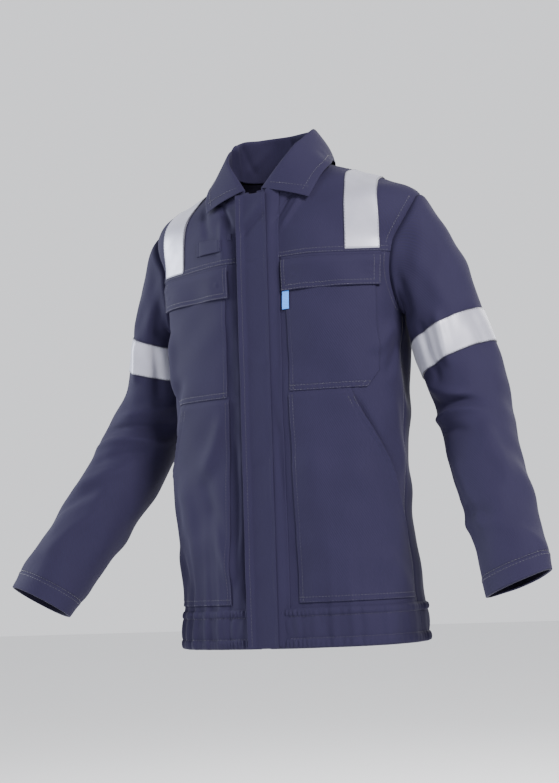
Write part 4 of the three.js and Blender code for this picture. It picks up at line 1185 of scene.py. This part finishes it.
def make_chest_pockets():
    """Patch pockets with two rows of stitching, the flaps over them and the hems that hold the flaps."""
    cloth = [navy_twill(), navy_twill()]
    inner, flap_inner = pocket_edges()
    cell = 2.2 / MM_PER_DEG
    for side, sign in SIDES.items():
        mirror = sign < 0
        lift = lambda deg, v: (crown(deg, v, inner, FLAP_END_DEG, CHEST_POCKET_LOW, CHEST_FLAP_TOP, 1.0)
                               + groove(v - CHEST_POCKET_LOW - 8, 0.5, 1.2)
                               + groove(v - CHEST_POCKET_LOW - 1.8, 0.3, 0.9)
                               + groove((deg - inner) * MM_PER_DEG - 7, 0.25, 1.1)
                               + pucker(deg * MM_PER_DEG, v - CHEST_POCKET_LOW, 0.3))
        piece = body_sheet(f"pocket_chest_{side}", ticks(inner, FLAP_END_DEG - 2, cell, 0.6),
                           ticks(CHEST_POCKET_LOW, CHEST_FLAP_TOP - 14, 2.2, 1.6), *LAYERS["chest_pocket"],
                           cloth, pocket_cut, "lrb", lift, mirror)
        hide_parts(f"chest_pocket_{side}")
        piece = body_sheet(f"flap_chest_{side}", ticks(flap_inner, FLAP_END_DEG, cell, 0.6),
                           ticks(CHEST_FLAP_TOP - CHEST_FLAP_HEIGHT, CHEST_FLAP_TOP - 2, 1.8, 1.6),
                           *LAYERS["chest_flap"], cloth, None, "lrbt", flap_lift, mirror, f"chest_flap_{side}")
        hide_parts(f"chest_flap_{side}")
        piece = body_sheet(f"flap_hem_{side}", ticks(flap_inner, FLAP_END_DEG, cell, 0.6),
                           ticks(CHEST_FLAP_TOP - 8, CHEST_FLAP_TOP + 2.5, 1.5, 1.4), *LAYERS["flap_hem"],
                           cloth, None, "lrbt", None, mirror)
        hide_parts(f"chest_flap_seam_{side}")


def mouth_edge(v):
    """The angle of the lower pocket's slanted mouth,
    softened by averaging it from 12 mm below to 12 above."""
    return sum(np.interp(v + k, SLANT[:, 0], SLANT[:, 1]) for k in (-12, -6, 0, 6, 12)) / 5


def pocket_squeeze(deg, v):
    """Columns squeeze so that the last one lies on the slanted mouth."""
    inner = lower_pocket_edge()
    return inner + (deg - inner) * (mouth_edge(v) - inner) / (90 - inner)


def make_lower_pockets():
    """Patch pockets whose slanted mouths gape by a curve that
    decays from the edge, their tops under the chest ones."""
    cloth = [navy_twill(), navy_twill()]
    inner = lower_pocket_edge()
    for side, sign in SIDES.items():
        def lift(deg, v):
            mouth = (mouth_edge(v) - deg) * MM_PER_DEG
            gape = 4.2 * np.exp(-np.maximum(mouth, 0) / 9) * ease((v - 120) / 60) * ease((340 - v) / 40)
            tuck = -1.5 * ease((v - CHEST_POCKET_LOW + 8) / 7)
            return (gape + tuck + groove(mouth - 7, 0.35, 1.1) + groove(v - LOWER_POCKET_LOW - 7, 0.35, 1.1)
                    + groove((deg - inner) * MM_PER_DEG - 7, 0.2, 1.1) + pucker(v, mouth, 0.3)
                    + crown(deg, v, inner, 84, LOWER_POCKET_LOW, CHEST_POCKET_LOW, 1.0))
        piece = body_sheet(f"pocket_lower_{side}", ticks(inner, 90, 2.4 / MM_PER_DEG, 0.6),
                           ticks(LOWER_POCKET_LOW, LOWER_TOP, 2.6, 1.6), *LAYERS["lower_pocket"], cloth,
                           pocket_squeeze, "lrb", lift, sign < 0)
        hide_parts(f"lower_pocket_{side}")


def make_details():
    """Radio loop, plain blue side tag, neck stud and the press studs under the flaps."""
    cloth = navy_twill()
    # The strap bows between the two seams that hold it.
    low, high = 30, 48
    arch = lambda deg, v: (1.8 * np.clip(1 - ((deg - (low + high) / 2) / ((high - low) / 2)) ** 4, 0, 1)
                           + groove((deg - low) * MM_PER_DEG, 0.6, 1.2)
                           + groove((high - deg) * MM_PER_DEG, 0.6, 1.2))
    piece = body_sheet("radio_loop_strap", ticks(28, 50, 0.7, 0.6), ticks(578, 600, 1.6, 1.4),
                       *LAYERS["radio_loop"], [cloth], None, "lrbt", arch, True)
    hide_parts("radio_loop")
    tack = body_sheet("loop_tack", ticks(20, 23.5, 0.5, 0.4), ticks(598, 612, 1.2, 1.0), *LAYERS["loop_tack"],
                      [cloth], None, "lrbt", None, True)
    blue = woven_band("woven_blue_tag", colour_of("tag"), 0.0024, 0.75)
    first, last = float(angle_at(POCKET_INNER_X - 6, 490.0)), float(angle_at(POCKET_INNER_X + 4.5, 490.0))
    curl = lambda deg, v: 0.5 * ((deg - first) / (last - first) - 0.5) ** 2
    piece = body_sheet("blue_tag", ticks(first, last, 0.35, 0.3), ticks(476, 504, 1.6, 0.8), *LAYERS["tag"],
                       [blue], None, "lrbt", curl)
    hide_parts("side_tag")
    steel = worn_metal("nickel_press_stud", colour_of("stud"), 0.3)
    foot, normal = body(20.0, 722.0, 0.4), body_normal(np.array(20.0), np.array(722.0))
    profile = [(0.01, 0), (3.6, 0), (4.0, 0.5), (3.9, 1.1), (3.2, 1.5), (2.4, 1.15), (1.6, 1.0), (0.01, 1.15)]
    piece = turned_profile("neck_press_stud", profile, foot, normal, steel, TORSO)
    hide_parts("neck_stud")
    socket = [(0.01, 0), (5.0, 0), (5.1, 0.4), (4.8, 0.9), (4.0, 1.05), (3.0, 0.7), (2.1, 0.65), (1.9, 1.1),
              (0.01, 1.1)]
    for place, deg in zip(("inner", "outer"), stud_angles()):
        for side, sign in SIDES.items():
            foot = body(sign * deg, CHEST_STUD_V, 2.3)
            normal = body_normal(np.array(sign * deg), np.array(CHEST_STUD_V))
            piece = turned_profile(f"stud_{place}_{side}", socket, foot, normal, steel, TORSO)
            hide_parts(f"chest_stud_{place}_{side}")


def shoulder_tape_point(share, across, off, sign):
    """The tape's line: its outer edge leaves the front seam 2 mm inside the
    armhole, curves to the ridge by 1 - share^2, then runs straight down the
    back; share is 1 at the front, 0 on the ridge and -1 at the back seam."""
    rise = 1 - share * share
    back = share < 0
    armhole_x = float(body_base(79.0, YOKE_V)[0]) - 9.9
    ridge_x = armhole_x - 0.4 * TAPE_WIDTH
    outer = np.where(back, ridge_x, armhole_x + (ridge_x - armhole_x) * rise**2.5)
    x = outer - 0.87 * TAPE_WIDTH * (1 - across)
    ridge = meet(np.full(x.shape, YOKE_V), np.full(x.shape, NECK_V),
                 lambda mid: body_base(90.0, mid)[..., 0] > x)
    foot = np.where(back, BACK_SEAM_V + 4, YOKE_V + 4)
    v = foot + (ridge - foot) * rise
    deg = np.where(back, angle_at(x, v, True), angle_at(x, v))
    deg = np.where(np.abs(share) < 1e-6, 90.0, deg)
    return body(sign * deg, v, off), body_normal(sign * deg, v)


def make_tapes():
    """A tape over each shoulder and one round each upper arm, their long edges rounded off."""
    silver = bead_tape()
    radius = 1.2
    lengthways = np.concatenate([np.linspace(1, 0.02, 70), np.linspace(-0.02, -1, 70)])
    crossways = np.concatenate([[0, 0.01, 0.025], np.linspace(0.05, 0.95, 15), [0.975, 0.99, 1]])
    share, across = np.meshgrid(lengthways, crossways, indexing="ij")
    for side, sign in SIDES.items():
        full = np.minimum(turned(across * TAPE_WIDTH, radius), turned((1 - across) * TAPE_WIDTH, radius))
        outer = shoulder_tape_point(share, across, 0.5 + 1.3 * full, sign)[0]
        inner = shoulder_tape_point(share, across, np.full(share.shape, 0.5), sign)[0]
        run = np.cumsum(np.linalg.norm(np.diff(outer[:, 10], axis=0, prepend=outer[:1, 10]), axis=-1))
        uv = np.stack([across * TAPE_WIDTH, np.broadcast_to(run[:, None], share.shape)], -1) / 1000
        piece = sheet(f"tape_shoulder_{side}", outer, inner, uv, [silver], TORSO)
        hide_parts(f"shoulder_tape_{side}")
        rows = ticks(TAPE_START[side], TAPE_START[side] + TAPE_WIDTH, 2.4, 1.2)
        piece = sleeve_piece(f"tape_sleeve_{side}", side, rows, *LAYERS["sleeve_tape"], [silver],
                             f"{side}_sleeve", None, "tb", slope=True)
        layer = piece.data.uv_layers["cloth"].data
        flat = np.zeros(len(layer) * 2, np.float32)
        layer.foreach_get("uv", flat)
        flat = flat.reshape(-1, 2)
        # The weave's first axis runs across the tape, so the sleeve's own two are swapped.
        flat = np.stack([flat[:, 1] - TAPE_START[side] / 1000, flat[:, 0]], -1)
        layer.foreach_set("uv", flat.astype(np.float32).ravel())
        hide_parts(f"sleeve_tape_{side}")


def make_sleeves():
    """Each sleeve is a cap, from the armhole to under the tape, and an arm, from there to the turned cuff."""
    cloth = [navy_twill(), lining_twill()]
    for side, sign in SIDES.items():
        table = sleeve_table(side)
        end, elbow = table[-1, 0], table[2, 0]
        mirror = np.array([sign, 1, 1])
        cap_rows = np.concatenate([np.linspace(1, 20, 12), np.linspace(22, TAPE_START[side] + 22, 56)])
        cap = sleeve_piece(f"cap_{side}", side, cap_rows, *LAYERS["panel"], cloth, None, None, "", 3.0)
        way = unit(np.array([sign, 0, -0.12]))
        round_share = np.arange(64) / 64
        rim_at = ((rim(side, round_share, 0.3) * mirror - HOOK) / 1000 @ way).max()
        tape_edge = sleeve(side, round_share, tape_line(side, round_share, TAPE_START[side] + 1.0))
        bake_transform(cap)
        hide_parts(f"upper_sleeve_{side}")
        fold = end - CUFF_HEM
        hem = lambda share, s: (0.9 * ease((s - fold) / 2.5) + groove(s - fold, 0.7, 1.4)
                                + groove(s - end + 2.5, 0.25, 1.0)
                                + pucker(share * SLEEVE_ROUND, s - fold, 0.3))
        arm_rows = np.concatenate([np.arange(TAPE_START[side] + 20, fold - 3, 2.9),
                                   ticks(fold - 2, end, 1.6, 1.6)])
        arm = sleeve_piece(f"arm_{side}", side, arm_rows, *LAYERS["panel"], cloth, None, hem, "t", None, 1.6)
        start, stop = ((along(table, elbow + k)[:3] * mirror - HOOK) / 1000 for k in (-58, 58))
        tuple(start)
        tuple(stop)
        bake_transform(arm)
        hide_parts(f"lower_sleeve_{side}", f"cuff_hem_{side}")


# ---------------------------------------------------------------- collar
def collar_path(u):
    """For shares u round the neck, 0 to 2: the neck seam, the
    fold line and the leaf's edge, mirrored past the back."""
    near = np.where(u <= 1, u, 2 - u)
    sign = np.where(u <= 1, 1.0, -1.0)[..., None] * [1, 0, 0] + [0, 1, 1]
    neck = body_base(COLLAR_START + (180 - COLLAR_START) * near, np.full(near.shape, NECK_V)) - [0, 0, 3]
    leaf = along(LEAF, near)
    leaf = body_base(leaf[..., 0], leaf[..., 1]) + body_normal(leaf[..., 0], leaf[..., 1]) * leaf[..., 2:3]
    return neck * sign, along(FOLD, near) * sign, leaf * sign


def collar_surface(u, rows=54):
    """Up the stand and down the fall, each bulging outwards by sin, 2 mm apart,
    then smoothed along the way up and over so that the fold is a small roll."""
    neck, fold, leaf = collar_path(u)
    w = np.linspace(0, 1, rows // 2)[:, None, None]
    bulge = lambda p, amount: p + amount * unit((p - [0, 10, 0]) * [1, 1, 0])
    stand = bulge(neck + (fold - neck) * w, np.sin(np.pi * w))
    fall = bulge(leaf + (fold - leaf) * w, 5 * np.sin(np.pi * w))
    stand = stand - 0.7 * grid_normals(stand)
    fall = fall + 1.5 * grid_normals(fall)
    points = np.concatenate([stand, fall[::-1]])
    for _ in range(6):
        points[1:-1] = (points[:-2] + 2 * points[1:-1] + points[2:]) / 4
    return points


def make_collar():
    """One folded sheet 1.5 mm thick, with a stitched line 6 mm in from its edges, creases and small waves."""
    cloth = [navy_twill(), navy_twill()]
    u = np.concatenate([[0, 0.002, 0.005, 0.009], np.linspace(0.015, 1.985, 190), [1.991, 1.995, 1.998, 2.0]])
    middle = collar_surface(u)
    normal = grid_normals(middle)
    run = np.concatenate([np.zeros((1, len(u))),
                          np.cumsum(np.linalg.norm(np.diff(middle, axis=0), axis=-1), 0)])
    round_run = run_along(middle[27])
    ends = np.minimum(round_run, round_run[-1] - round_run)[None]
    edge = np.minimum(ends, run[-1] - run)
    full = turned(edge, 1.6)
    seam = 0.35 * np.exp(-((edge - 6) / 1.1) ** 2)
    creases = ridges(round_run[None], run, COLLAR_FOLDS)
    held = ease(edge / 10) * ease(run / 12)
    waves = ((0.5 * ripple(middle, 60, 41) + creases) * held)[..., None] * normal
    outer = middle + waves - normal * (0.75 * full - seam * (run > 30))[..., None]
    inner = middle + waves + normal * (0.75 * full)[..., None]
    uv = np.stack([np.broadcast_to(round_run, run.shape), run], -1) / 1000
    piece = sheet("collar", outer, inner, uv, cloth, TORSO)
    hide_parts("collar_stand", "collar_fall")


def make_hanger_loop():
    """A flat woven cord, 60 mm between its ends, bowed 13 mm off the neck facing."""
    end = body_base(np.array(154.0), np.array(728.0)) - 6 * body_normal(np.array(154.0), np.array(728.0))
    turn = np.linspace(0, np.pi, 40)
    path = np.stack([30 * np.cos(turn), end[1] - 13 * np.sin(turn), end[2] - 3 * np.sin(turn)], -1)
    way = unit(np.gradient(path, axis=0))
    up = np.broadcast_to(np.array([0.0, 0.0, 1.0]), path.shape)
    band = woven_band("woven_hanger_cord", shade(colour_of("lining"), 1.2), 0.002, 0.85)
    piece = cord_mesh("hanger_loop_cord", path, unit(np.cross(way, up)), up, 1.1, 1.8, band, TORSO)
    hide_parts("hanger_loop")


def make_stitching():
    """Rows of stitches on every seam that shows, grouped by the body they ride on."""
    thread = spun_thread()
    inner, flap_inner = pocket_edges()
    lower_inner = lower_pocket_edge()
    full = np.linspace(0, 1, 9)
    rows = []
    for sign in (1, -1):
        across = sign * np.linspace(8, 78, 9)
        for up, off in SEAM_STITCHES:
            rows.append(body_run(across, np.full(9, YOKE_V + up), off))
        for v, off in BAND_STITCHES:
            rows.append(body_run(sign * np.linspace(11, 90, 9), np.full(9, v), off))
        for x, off in ((1.5, 1.75), (7.5, 2.0)):
            d = inner + x / MM_PER_DEG
            rows.append(body_run(np.full(9, sign * d), np.linspace(CHEST_POCKET_LOW + 2, 500, 9), off))
            e = lower_inner + x / MM_PER_DEG
            rows.append(body_run(np.full(9, sign * e),
                                 np.linspace(LOWER_POCKET_LOW + 2, CHEST_POCKET_LOW - 6, 9), off + 0.15))
        for up, off in ((1.6, 1.75), (8.0, 1.9)):
            v = CHEST_POCKET_LOW + up
            at = np.linspace(inner + 0.6, FLAP_END_DEG - 2.6, 9)
            rows.append(body_run(sign * pocket_cut(at, np.full(9, v)), np.full(9, v), off))
            at = np.linspace(lower_inner + 0.6, 86.4, 9)
            rows.append(body_run(sign * at, np.full(9, LOWER_POCKET_LOW + up), off + 0.15))
            v = np.linspace(CHEST_POCKET_LOW + 2, 500, 13)
            edge = pocket_cut(np.full(13, FLAP_END_DEG - 2.0), v)
            rows.append(body_run(sign * (edge - up / MM_PER_DEG), v, off))
            v = np.linspace(LOWER_POCKET_LOW + 90, CHEST_POCKET_LOW - 10, 17)
            edge = pocket_squeeze(np.full(17, 90.0), v)
            rows.append(body_run(sign * (edge - up / MM_PER_DEG), v, off + 1.4 - 0.1 * up))
        rows.append(body_run(sign * np.full(9, 88.6), np.linspace(58, ARMHOLE_LOW - 4, 9), 0.1))
        v = np.linspace(ARMHOLE_LOW + 4, ARMHOLE_HIGH - 4, 25)
        rows.append(body_run(sign * (90 - FRONT_CUT_DEG * armhole_curve(v) - 2.6), v, 0.15))
        rows.append(body_run(sign * (90 + BACK_CUT_DEG * armhole_curve(v) + 2.6), v, 0.15))
        rows.append(body_run(np.full(9, sign * 91.6), np.linspace(ARMHOLE_HIGH + 2, NECK_V - 20, 9), 0.15))
        for edge in (0.045, 0.955):
            share = np.concatenate([np.linspace(0.995, 0.02, 90), np.linspace(-0.02, -0.995, 90)])
            rows.append(shoulder_tape_point(share, np.full(180, edge), np.full(180, 1.85), sign))
    for up, off in SEAM_STITCHES:
        rows.append(body_run(np.linspace(110, 250, 9), np.full(9, BACK_SEAM_V + up), off, 260))
    for v, off in BAND_STITCHES:
        rows.append(body_run(np.linspace(90, 270, 9), np.full(9, v), off, 320))
    stitches("stitches_body", rows, thread, TORSO)

    z = np.linspace(4, FLAP_TOP_Z - 4, 200)
    straight = np.broadcast_to(unit(np.array([0.0, -1.0, -FRONT_LEAN])), (200, 3))
    rows = []
    for x, sunk in ((18.5, 0.7), (-17.5, 0.25)):
        wave = flap_wave(np.full(200, x), z)
        rows.append((front_line(np.full(200, x), z, FLAP_STAND + FLAP_CLOTH + wave - sunk + 0.1), straight))
    stitches("stitches_storm_flap", rows, thread, "storm_flap")

    for side, sign in SIDES.items():
        low, high = CHEST_FLAP_TOP - CHEST_FLAP_HEIGHT, CHEST_FLAP_TOP - 2
        rows = []
        for inset in (1.8, 8.0):
            d = inset / MM_PER_DEG
            left, right = flap_inner + d, FLAP_END_DEG - d
            corners = [(left, high), (left, low + inset), (right, low + inset), (right, high)]
            for (d0, v0), (d1, v1) in zip(corners[:-1], corners[1:]):
                deg, v = d0 + (d1 - d0) * full, v0 + (v1 - v0) * full
                t = np.linspace(0, 1, 120)
                deg, v = np.interp(t, full, deg), np.interp(t, full, v)
                rows.append((body(sign * deg, v, CHEST_FLAP_LOW + 1.45 + flap_lift(deg, v)),
                             body_normal(sign * deg, v)))
        stitches(f"stitches_flap_{side}", rows, thread, f"chest_flap_{side}")
        end = sleeve_table(side)[-1, 0]
        start, fold = TAPE_START[side], end - CUFF_HEM
        turn = np.linspace(0, 1, 240)
        for name, line, spots, body_name in (
            ("tape", tape_line, ((start + 2.2, 1.65), (start + TAPE_WIDTH - 2.2, 1.65)), f"{side}_sleeve"),
            ("cuff", cuff_line, ((fold, 0.35), (fold + 5, 0.95)), f"{side}_forearm"),
        ):
            rows = []
            for s, off in spots:
                down = line(side, turn, np.full(240, s))
                at = sleeve(side, turn, down, off)
                rows.append((at, unit(sleeve(side, turn, down, off + 1) - at)))
            stitches(f"stitches_{name}_{side}", rows, thread, body_name)

    u = np.linspace(0.02, 1.98, 360)
    middle = collar_surface(u)
    normal = grid_normals(middle)
    face = middle - normal * 0.9
    rows = [(face[-6], -normal[-6])]
    for k in (3, -4):
        rows.append((face[30:52, k], -normal[30:52, k]))
    stitches("stitches_collar", rows, thread, TORSO)


# ---------------------------------------------------------------- stage
def make_stage():
    """A plain pale floor, soft studio lights and the camera."""
    size, z = 14.0, -1.25
    points = np.array([[-size, -size, z], [size, -size, z], [size, size, z], [-size, size, z]])
    mesh = bpy.data.meshes.new("floor")
    mesh.from_pydata(points.tolist(), [], [[0, 1, 2, 3]])
    floor = bpy.data.objects.new("floor", mesh)
    bpy.context.scene.collection.objects.link(floor)

    def paint(tree):
        place = add(tree, "ShaderNodeTexCoord")
        cloud = add(tree, "ShaderNodeTexNoise", {"Vector": place.outputs["Object"]}, {"Scale": 0.4})
        return mixed(tree, cloud.outputs["Fac"], (0.80, 0.80, 0.80, 1), (0.82, 0.82, 0.82, 1))

    mesh.materials.append(surface_material("pale_studio_paint", {"Roughness": 0.9}, paint))
    world = bpy.data.worlds.new("studio")
    bpy.context.scene.world = world
    world.use_nodes = True
    world.node_tree.nodes["Background"].inputs["Color"].default_value = (0.95, 0.96, 1.0, 1)
    world.node_tree.nodes["Background"].inputs["Strength"].default_value = 1.15
    for name, place, aim, side, power, colour in (
        ("key", (2.5, -1.5, 1.2), (0, 0, -0.35), 1.0, 380, (1, 0.98, 0.96)),
        ("fill", (-0.6, -2.8, 0.3), (0, 0, -0.35), 1.6, 60, (0.93, 0.95, 1)),
        ("side", (-2.2, -0.5, 0.2), (0, 0, -0.3), 0.8, 120, (0.85, 0.9, 1)),
        ("back", (0.6, 2.4, 1.1), (0, 0, -0.3), 1.6, 60, (1, 1, 1)),
    ):
        lamp = bpy.data.lights.new(name, "AREA")
        lamp.shape, lamp.size, lamp.energy, lamp.color = "SQUARE", side, power, colour
        obj = bpy.data.objects.new(name, lamp)
        obj.location = place
        obj.rotation_euler = (Vector(aim) - Vector(place)).to_track_quat("-Z", "Y").to_euler()
        bpy.context.scene.collection.objects.link(obj)

    turn, tip, roll = np.radians([CAMERA[key] for key in ("turn", "tip", "roll")])
    right = np.array([np.cos(turn), np.sin(turn), 0])
    ahead = np.array([-np.sin(turn), np.cos(turn), 0])
    place = -ahead * CAMERA["away"] + right * CAMERA["aside"] + [0, 0, CAMERA["above"]]
    forward = ahead * np.cos(tip) + np.array([0, 0, np.sin(tip)])
    up = np.cross(right, forward)
    right, up = right * np.cos(roll) - up * np.sin(roll), up * np.cos(roll) + right * np.sin(roll)
    camera = bpy.data.cameras.new("camera")
    camera.sensor_width, camera.lens = SENSOR, CAMERA["focal"] * SENSOR / FRAME_ROWS
    obj = bpy.data.objects.new("camera", camera)
    place = (place - HOOK) / 1000
    axes = np.stack([right, up, -forward, place], 1).tolist()
    obj.matrix_world = Matrix([*axes, (0, 0, 0, 1)])
    bpy.context.scene.collection.objects.link(obj)
    bpy.context.scene.camera = obj


# ---------------------------------------------------------------- operators, panel and main
class JACKET_OT_shell(bpy.types.Operator):
    """Fronts, back and the yokes lapped over them"""
    bl_idname = "jacket.shell"
    bl_label = "Panels and yokes"

    def execute(self, context):
        make_shell()
        return {"FINISHED"}


class JACKET_OT_waistband(bpy.types.Operator):
    """The elastic waistband's puffed channels"""
    bl_idname = "jacket.waistband"
    bl_label = "Waistband"

    def execute(self, context):
        make_waistband()
        return {"FINISHED"}


class JACKET_OT_inside(bpy.types.Operator):
    """Facings, neck label and elastic"""
    bl_idname = "jacket.inside"
    bl_label = "Inside pieces"

    def execute(self, context):
        make_inside()
        return {"FINISHED"}


class JACKET_OT_zip(bpy.types.Operator):
    """Tapes, teeth, stops, slider and pull"""
    bl_idname = "jacket.zip"
    bl_label = "Zip"

    def execute(self, context):
        make_zip()
        return {"FINISHED"}


class JACKET_OT_storm_flap(bpy.types.Operator):
    """The flap over the zip and the seam that holds it"""
    bl_idname = "jacket.storm_flap"
    bl_label = "Storm flap"

    def execute(self, context):
        make_storm_flap()
        return {"FINISHED"}


class JACKET_OT_chest_pockets(bpy.types.Operator):
    """Both chest pockets and their flaps"""
    bl_idname = "jacket.chest_pockets"
    bl_label = "Chest pockets"

    def execute(self, context):
        make_chest_pockets()
        return {"FINISHED"}


class JACKET_OT_lower_pockets(bpy.types.Operator):
    """Both lower pockets with slanted mouths"""
    bl_idname = "jacket.lower_pockets"
    bl_label = "Lower pockets"

    def execute(self, context):
        make_lower_pockets()
        return {"FINISHED"}


class JACKET_OT_details(bpy.types.Operator):
    """Radio loop, side tag and press studs"""
    bl_idname = "jacket.details"
    bl_label = "Small parts"

    def execute(self, context):
        make_details()
        return {"FINISHED"}


class JACKET_OT_sleeves(bpy.types.Operator):
    """Caps, arms and turned cuffs"""
    bl_idname = "jacket.sleeves"
    bl_label = "Sleeves"

    def execute(self, context):
        make_sleeves()
        return {"FINISHED"}


class JACKET_OT_tapes(bpy.types.Operator):
    """Shoulder and sleeve tapes"""
    bl_idname = "jacket.tapes"
    bl_label = "Reflective tapes"

    def execute(self, context):
        make_tapes()
        return {"FINISHED"}


class JACKET_OT_collar(bpy.types.Operator):
    """The turned-down collar as one folded sheet"""
    bl_idname = "jacket.collar"
    bl_label = "Collar"

    def execute(self, context):
        make_collar()
        return {"FINISHED"}


class JACKET_OT_hanger_loop(bpy.types.Operator):
    """The loop inside the neck"""
    bl_idname = "jacket.hanger_loop"
    bl_label = "Hanger loop"

    def execute(self, context):
        make_hanger_loop()
        return {"FINISHED"}


class JACKET_OT_stitching(bpy.types.Operator):
    """Stitch rows on every seam"""
    bl_idname = "jacket.stitching"
    bl_label = "Stitching"

    def execute(self, context):
        make_stitching()
        return {"FINISHED"}


class JACKET_OT_stage(bpy.types.Operator):
    """Floor, lights and camera"""
    bl_idname = "jacket.stage"
    bl_label = "Stage"

    def execute(self, context):
        make_stage()
        return {"FINISHED"}


OPERATORS = (
    JACKET_OT_shell,
    JACKET_OT_waistband,
    JACKET_OT_inside,
    JACKET_OT_zip,
    JACKET_OT_storm_flap,
    JACKET_OT_chest_pockets,
    JACKET_OT_lower_pockets,
    JACKET_OT_details,
    JACKET_OT_sleeves,
    JACKET_OT_tapes,
    JACKET_OT_collar,
    JACKET_OT_hanger_loop,
    JACKET_OT_stitching,
    JACKET_OT_stage,
)


class JACKET_PT_sidebar(bpy.types.Panel):
    """Lists the jacket's sizes, colours and pieces"""
    bl_idname = "JACKET_PT_sidebar"
    bl_label = "Work Jacket"
    bl_space_type = "VIEW_3D"
    bl_region_type = "UI"
    bl_category = "Jacket"

    def draw(self, context):
        for group in (sizes(), colours()):
            for key in group.bl_rna.properties.keys():
                if key not in ("rna_type", "name"):
                    self.layout.prop(group, key)
        for kind in OPERATORS:
            self.layout.operator(kind.bl_idname)


CLASSES = (JacketSizes, JacketColours, *OPERATORS, JACKET_PT_sidebar)


def register():
    """Adds the settings, operators and panel."""
    for kind in CLASSES:
        bpy.utils.register_class(kind)
    bpy.types.Scene.jacket_sizes = PointerProperty(type=JacketSizes)
    bpy.types.Scene.jacket_colours = PointerProperty(type=JacketColours)


def unregister():
    """Takes them away again."""
    del bpy.types.Scene.jacket_sizes
    del bpy.types.Scene.jacket_colours
    for kind in reversed(CLASSES):
        bpy.utils.unregister_class(kind)


def main():
    """Builds every group in turn."""
    register()
    for kind in OPERATORS:
        getattr(bpy.ops.jacket, kind.bl_idname.split(".")[1])()


if __name__ == "__main__":
    main()
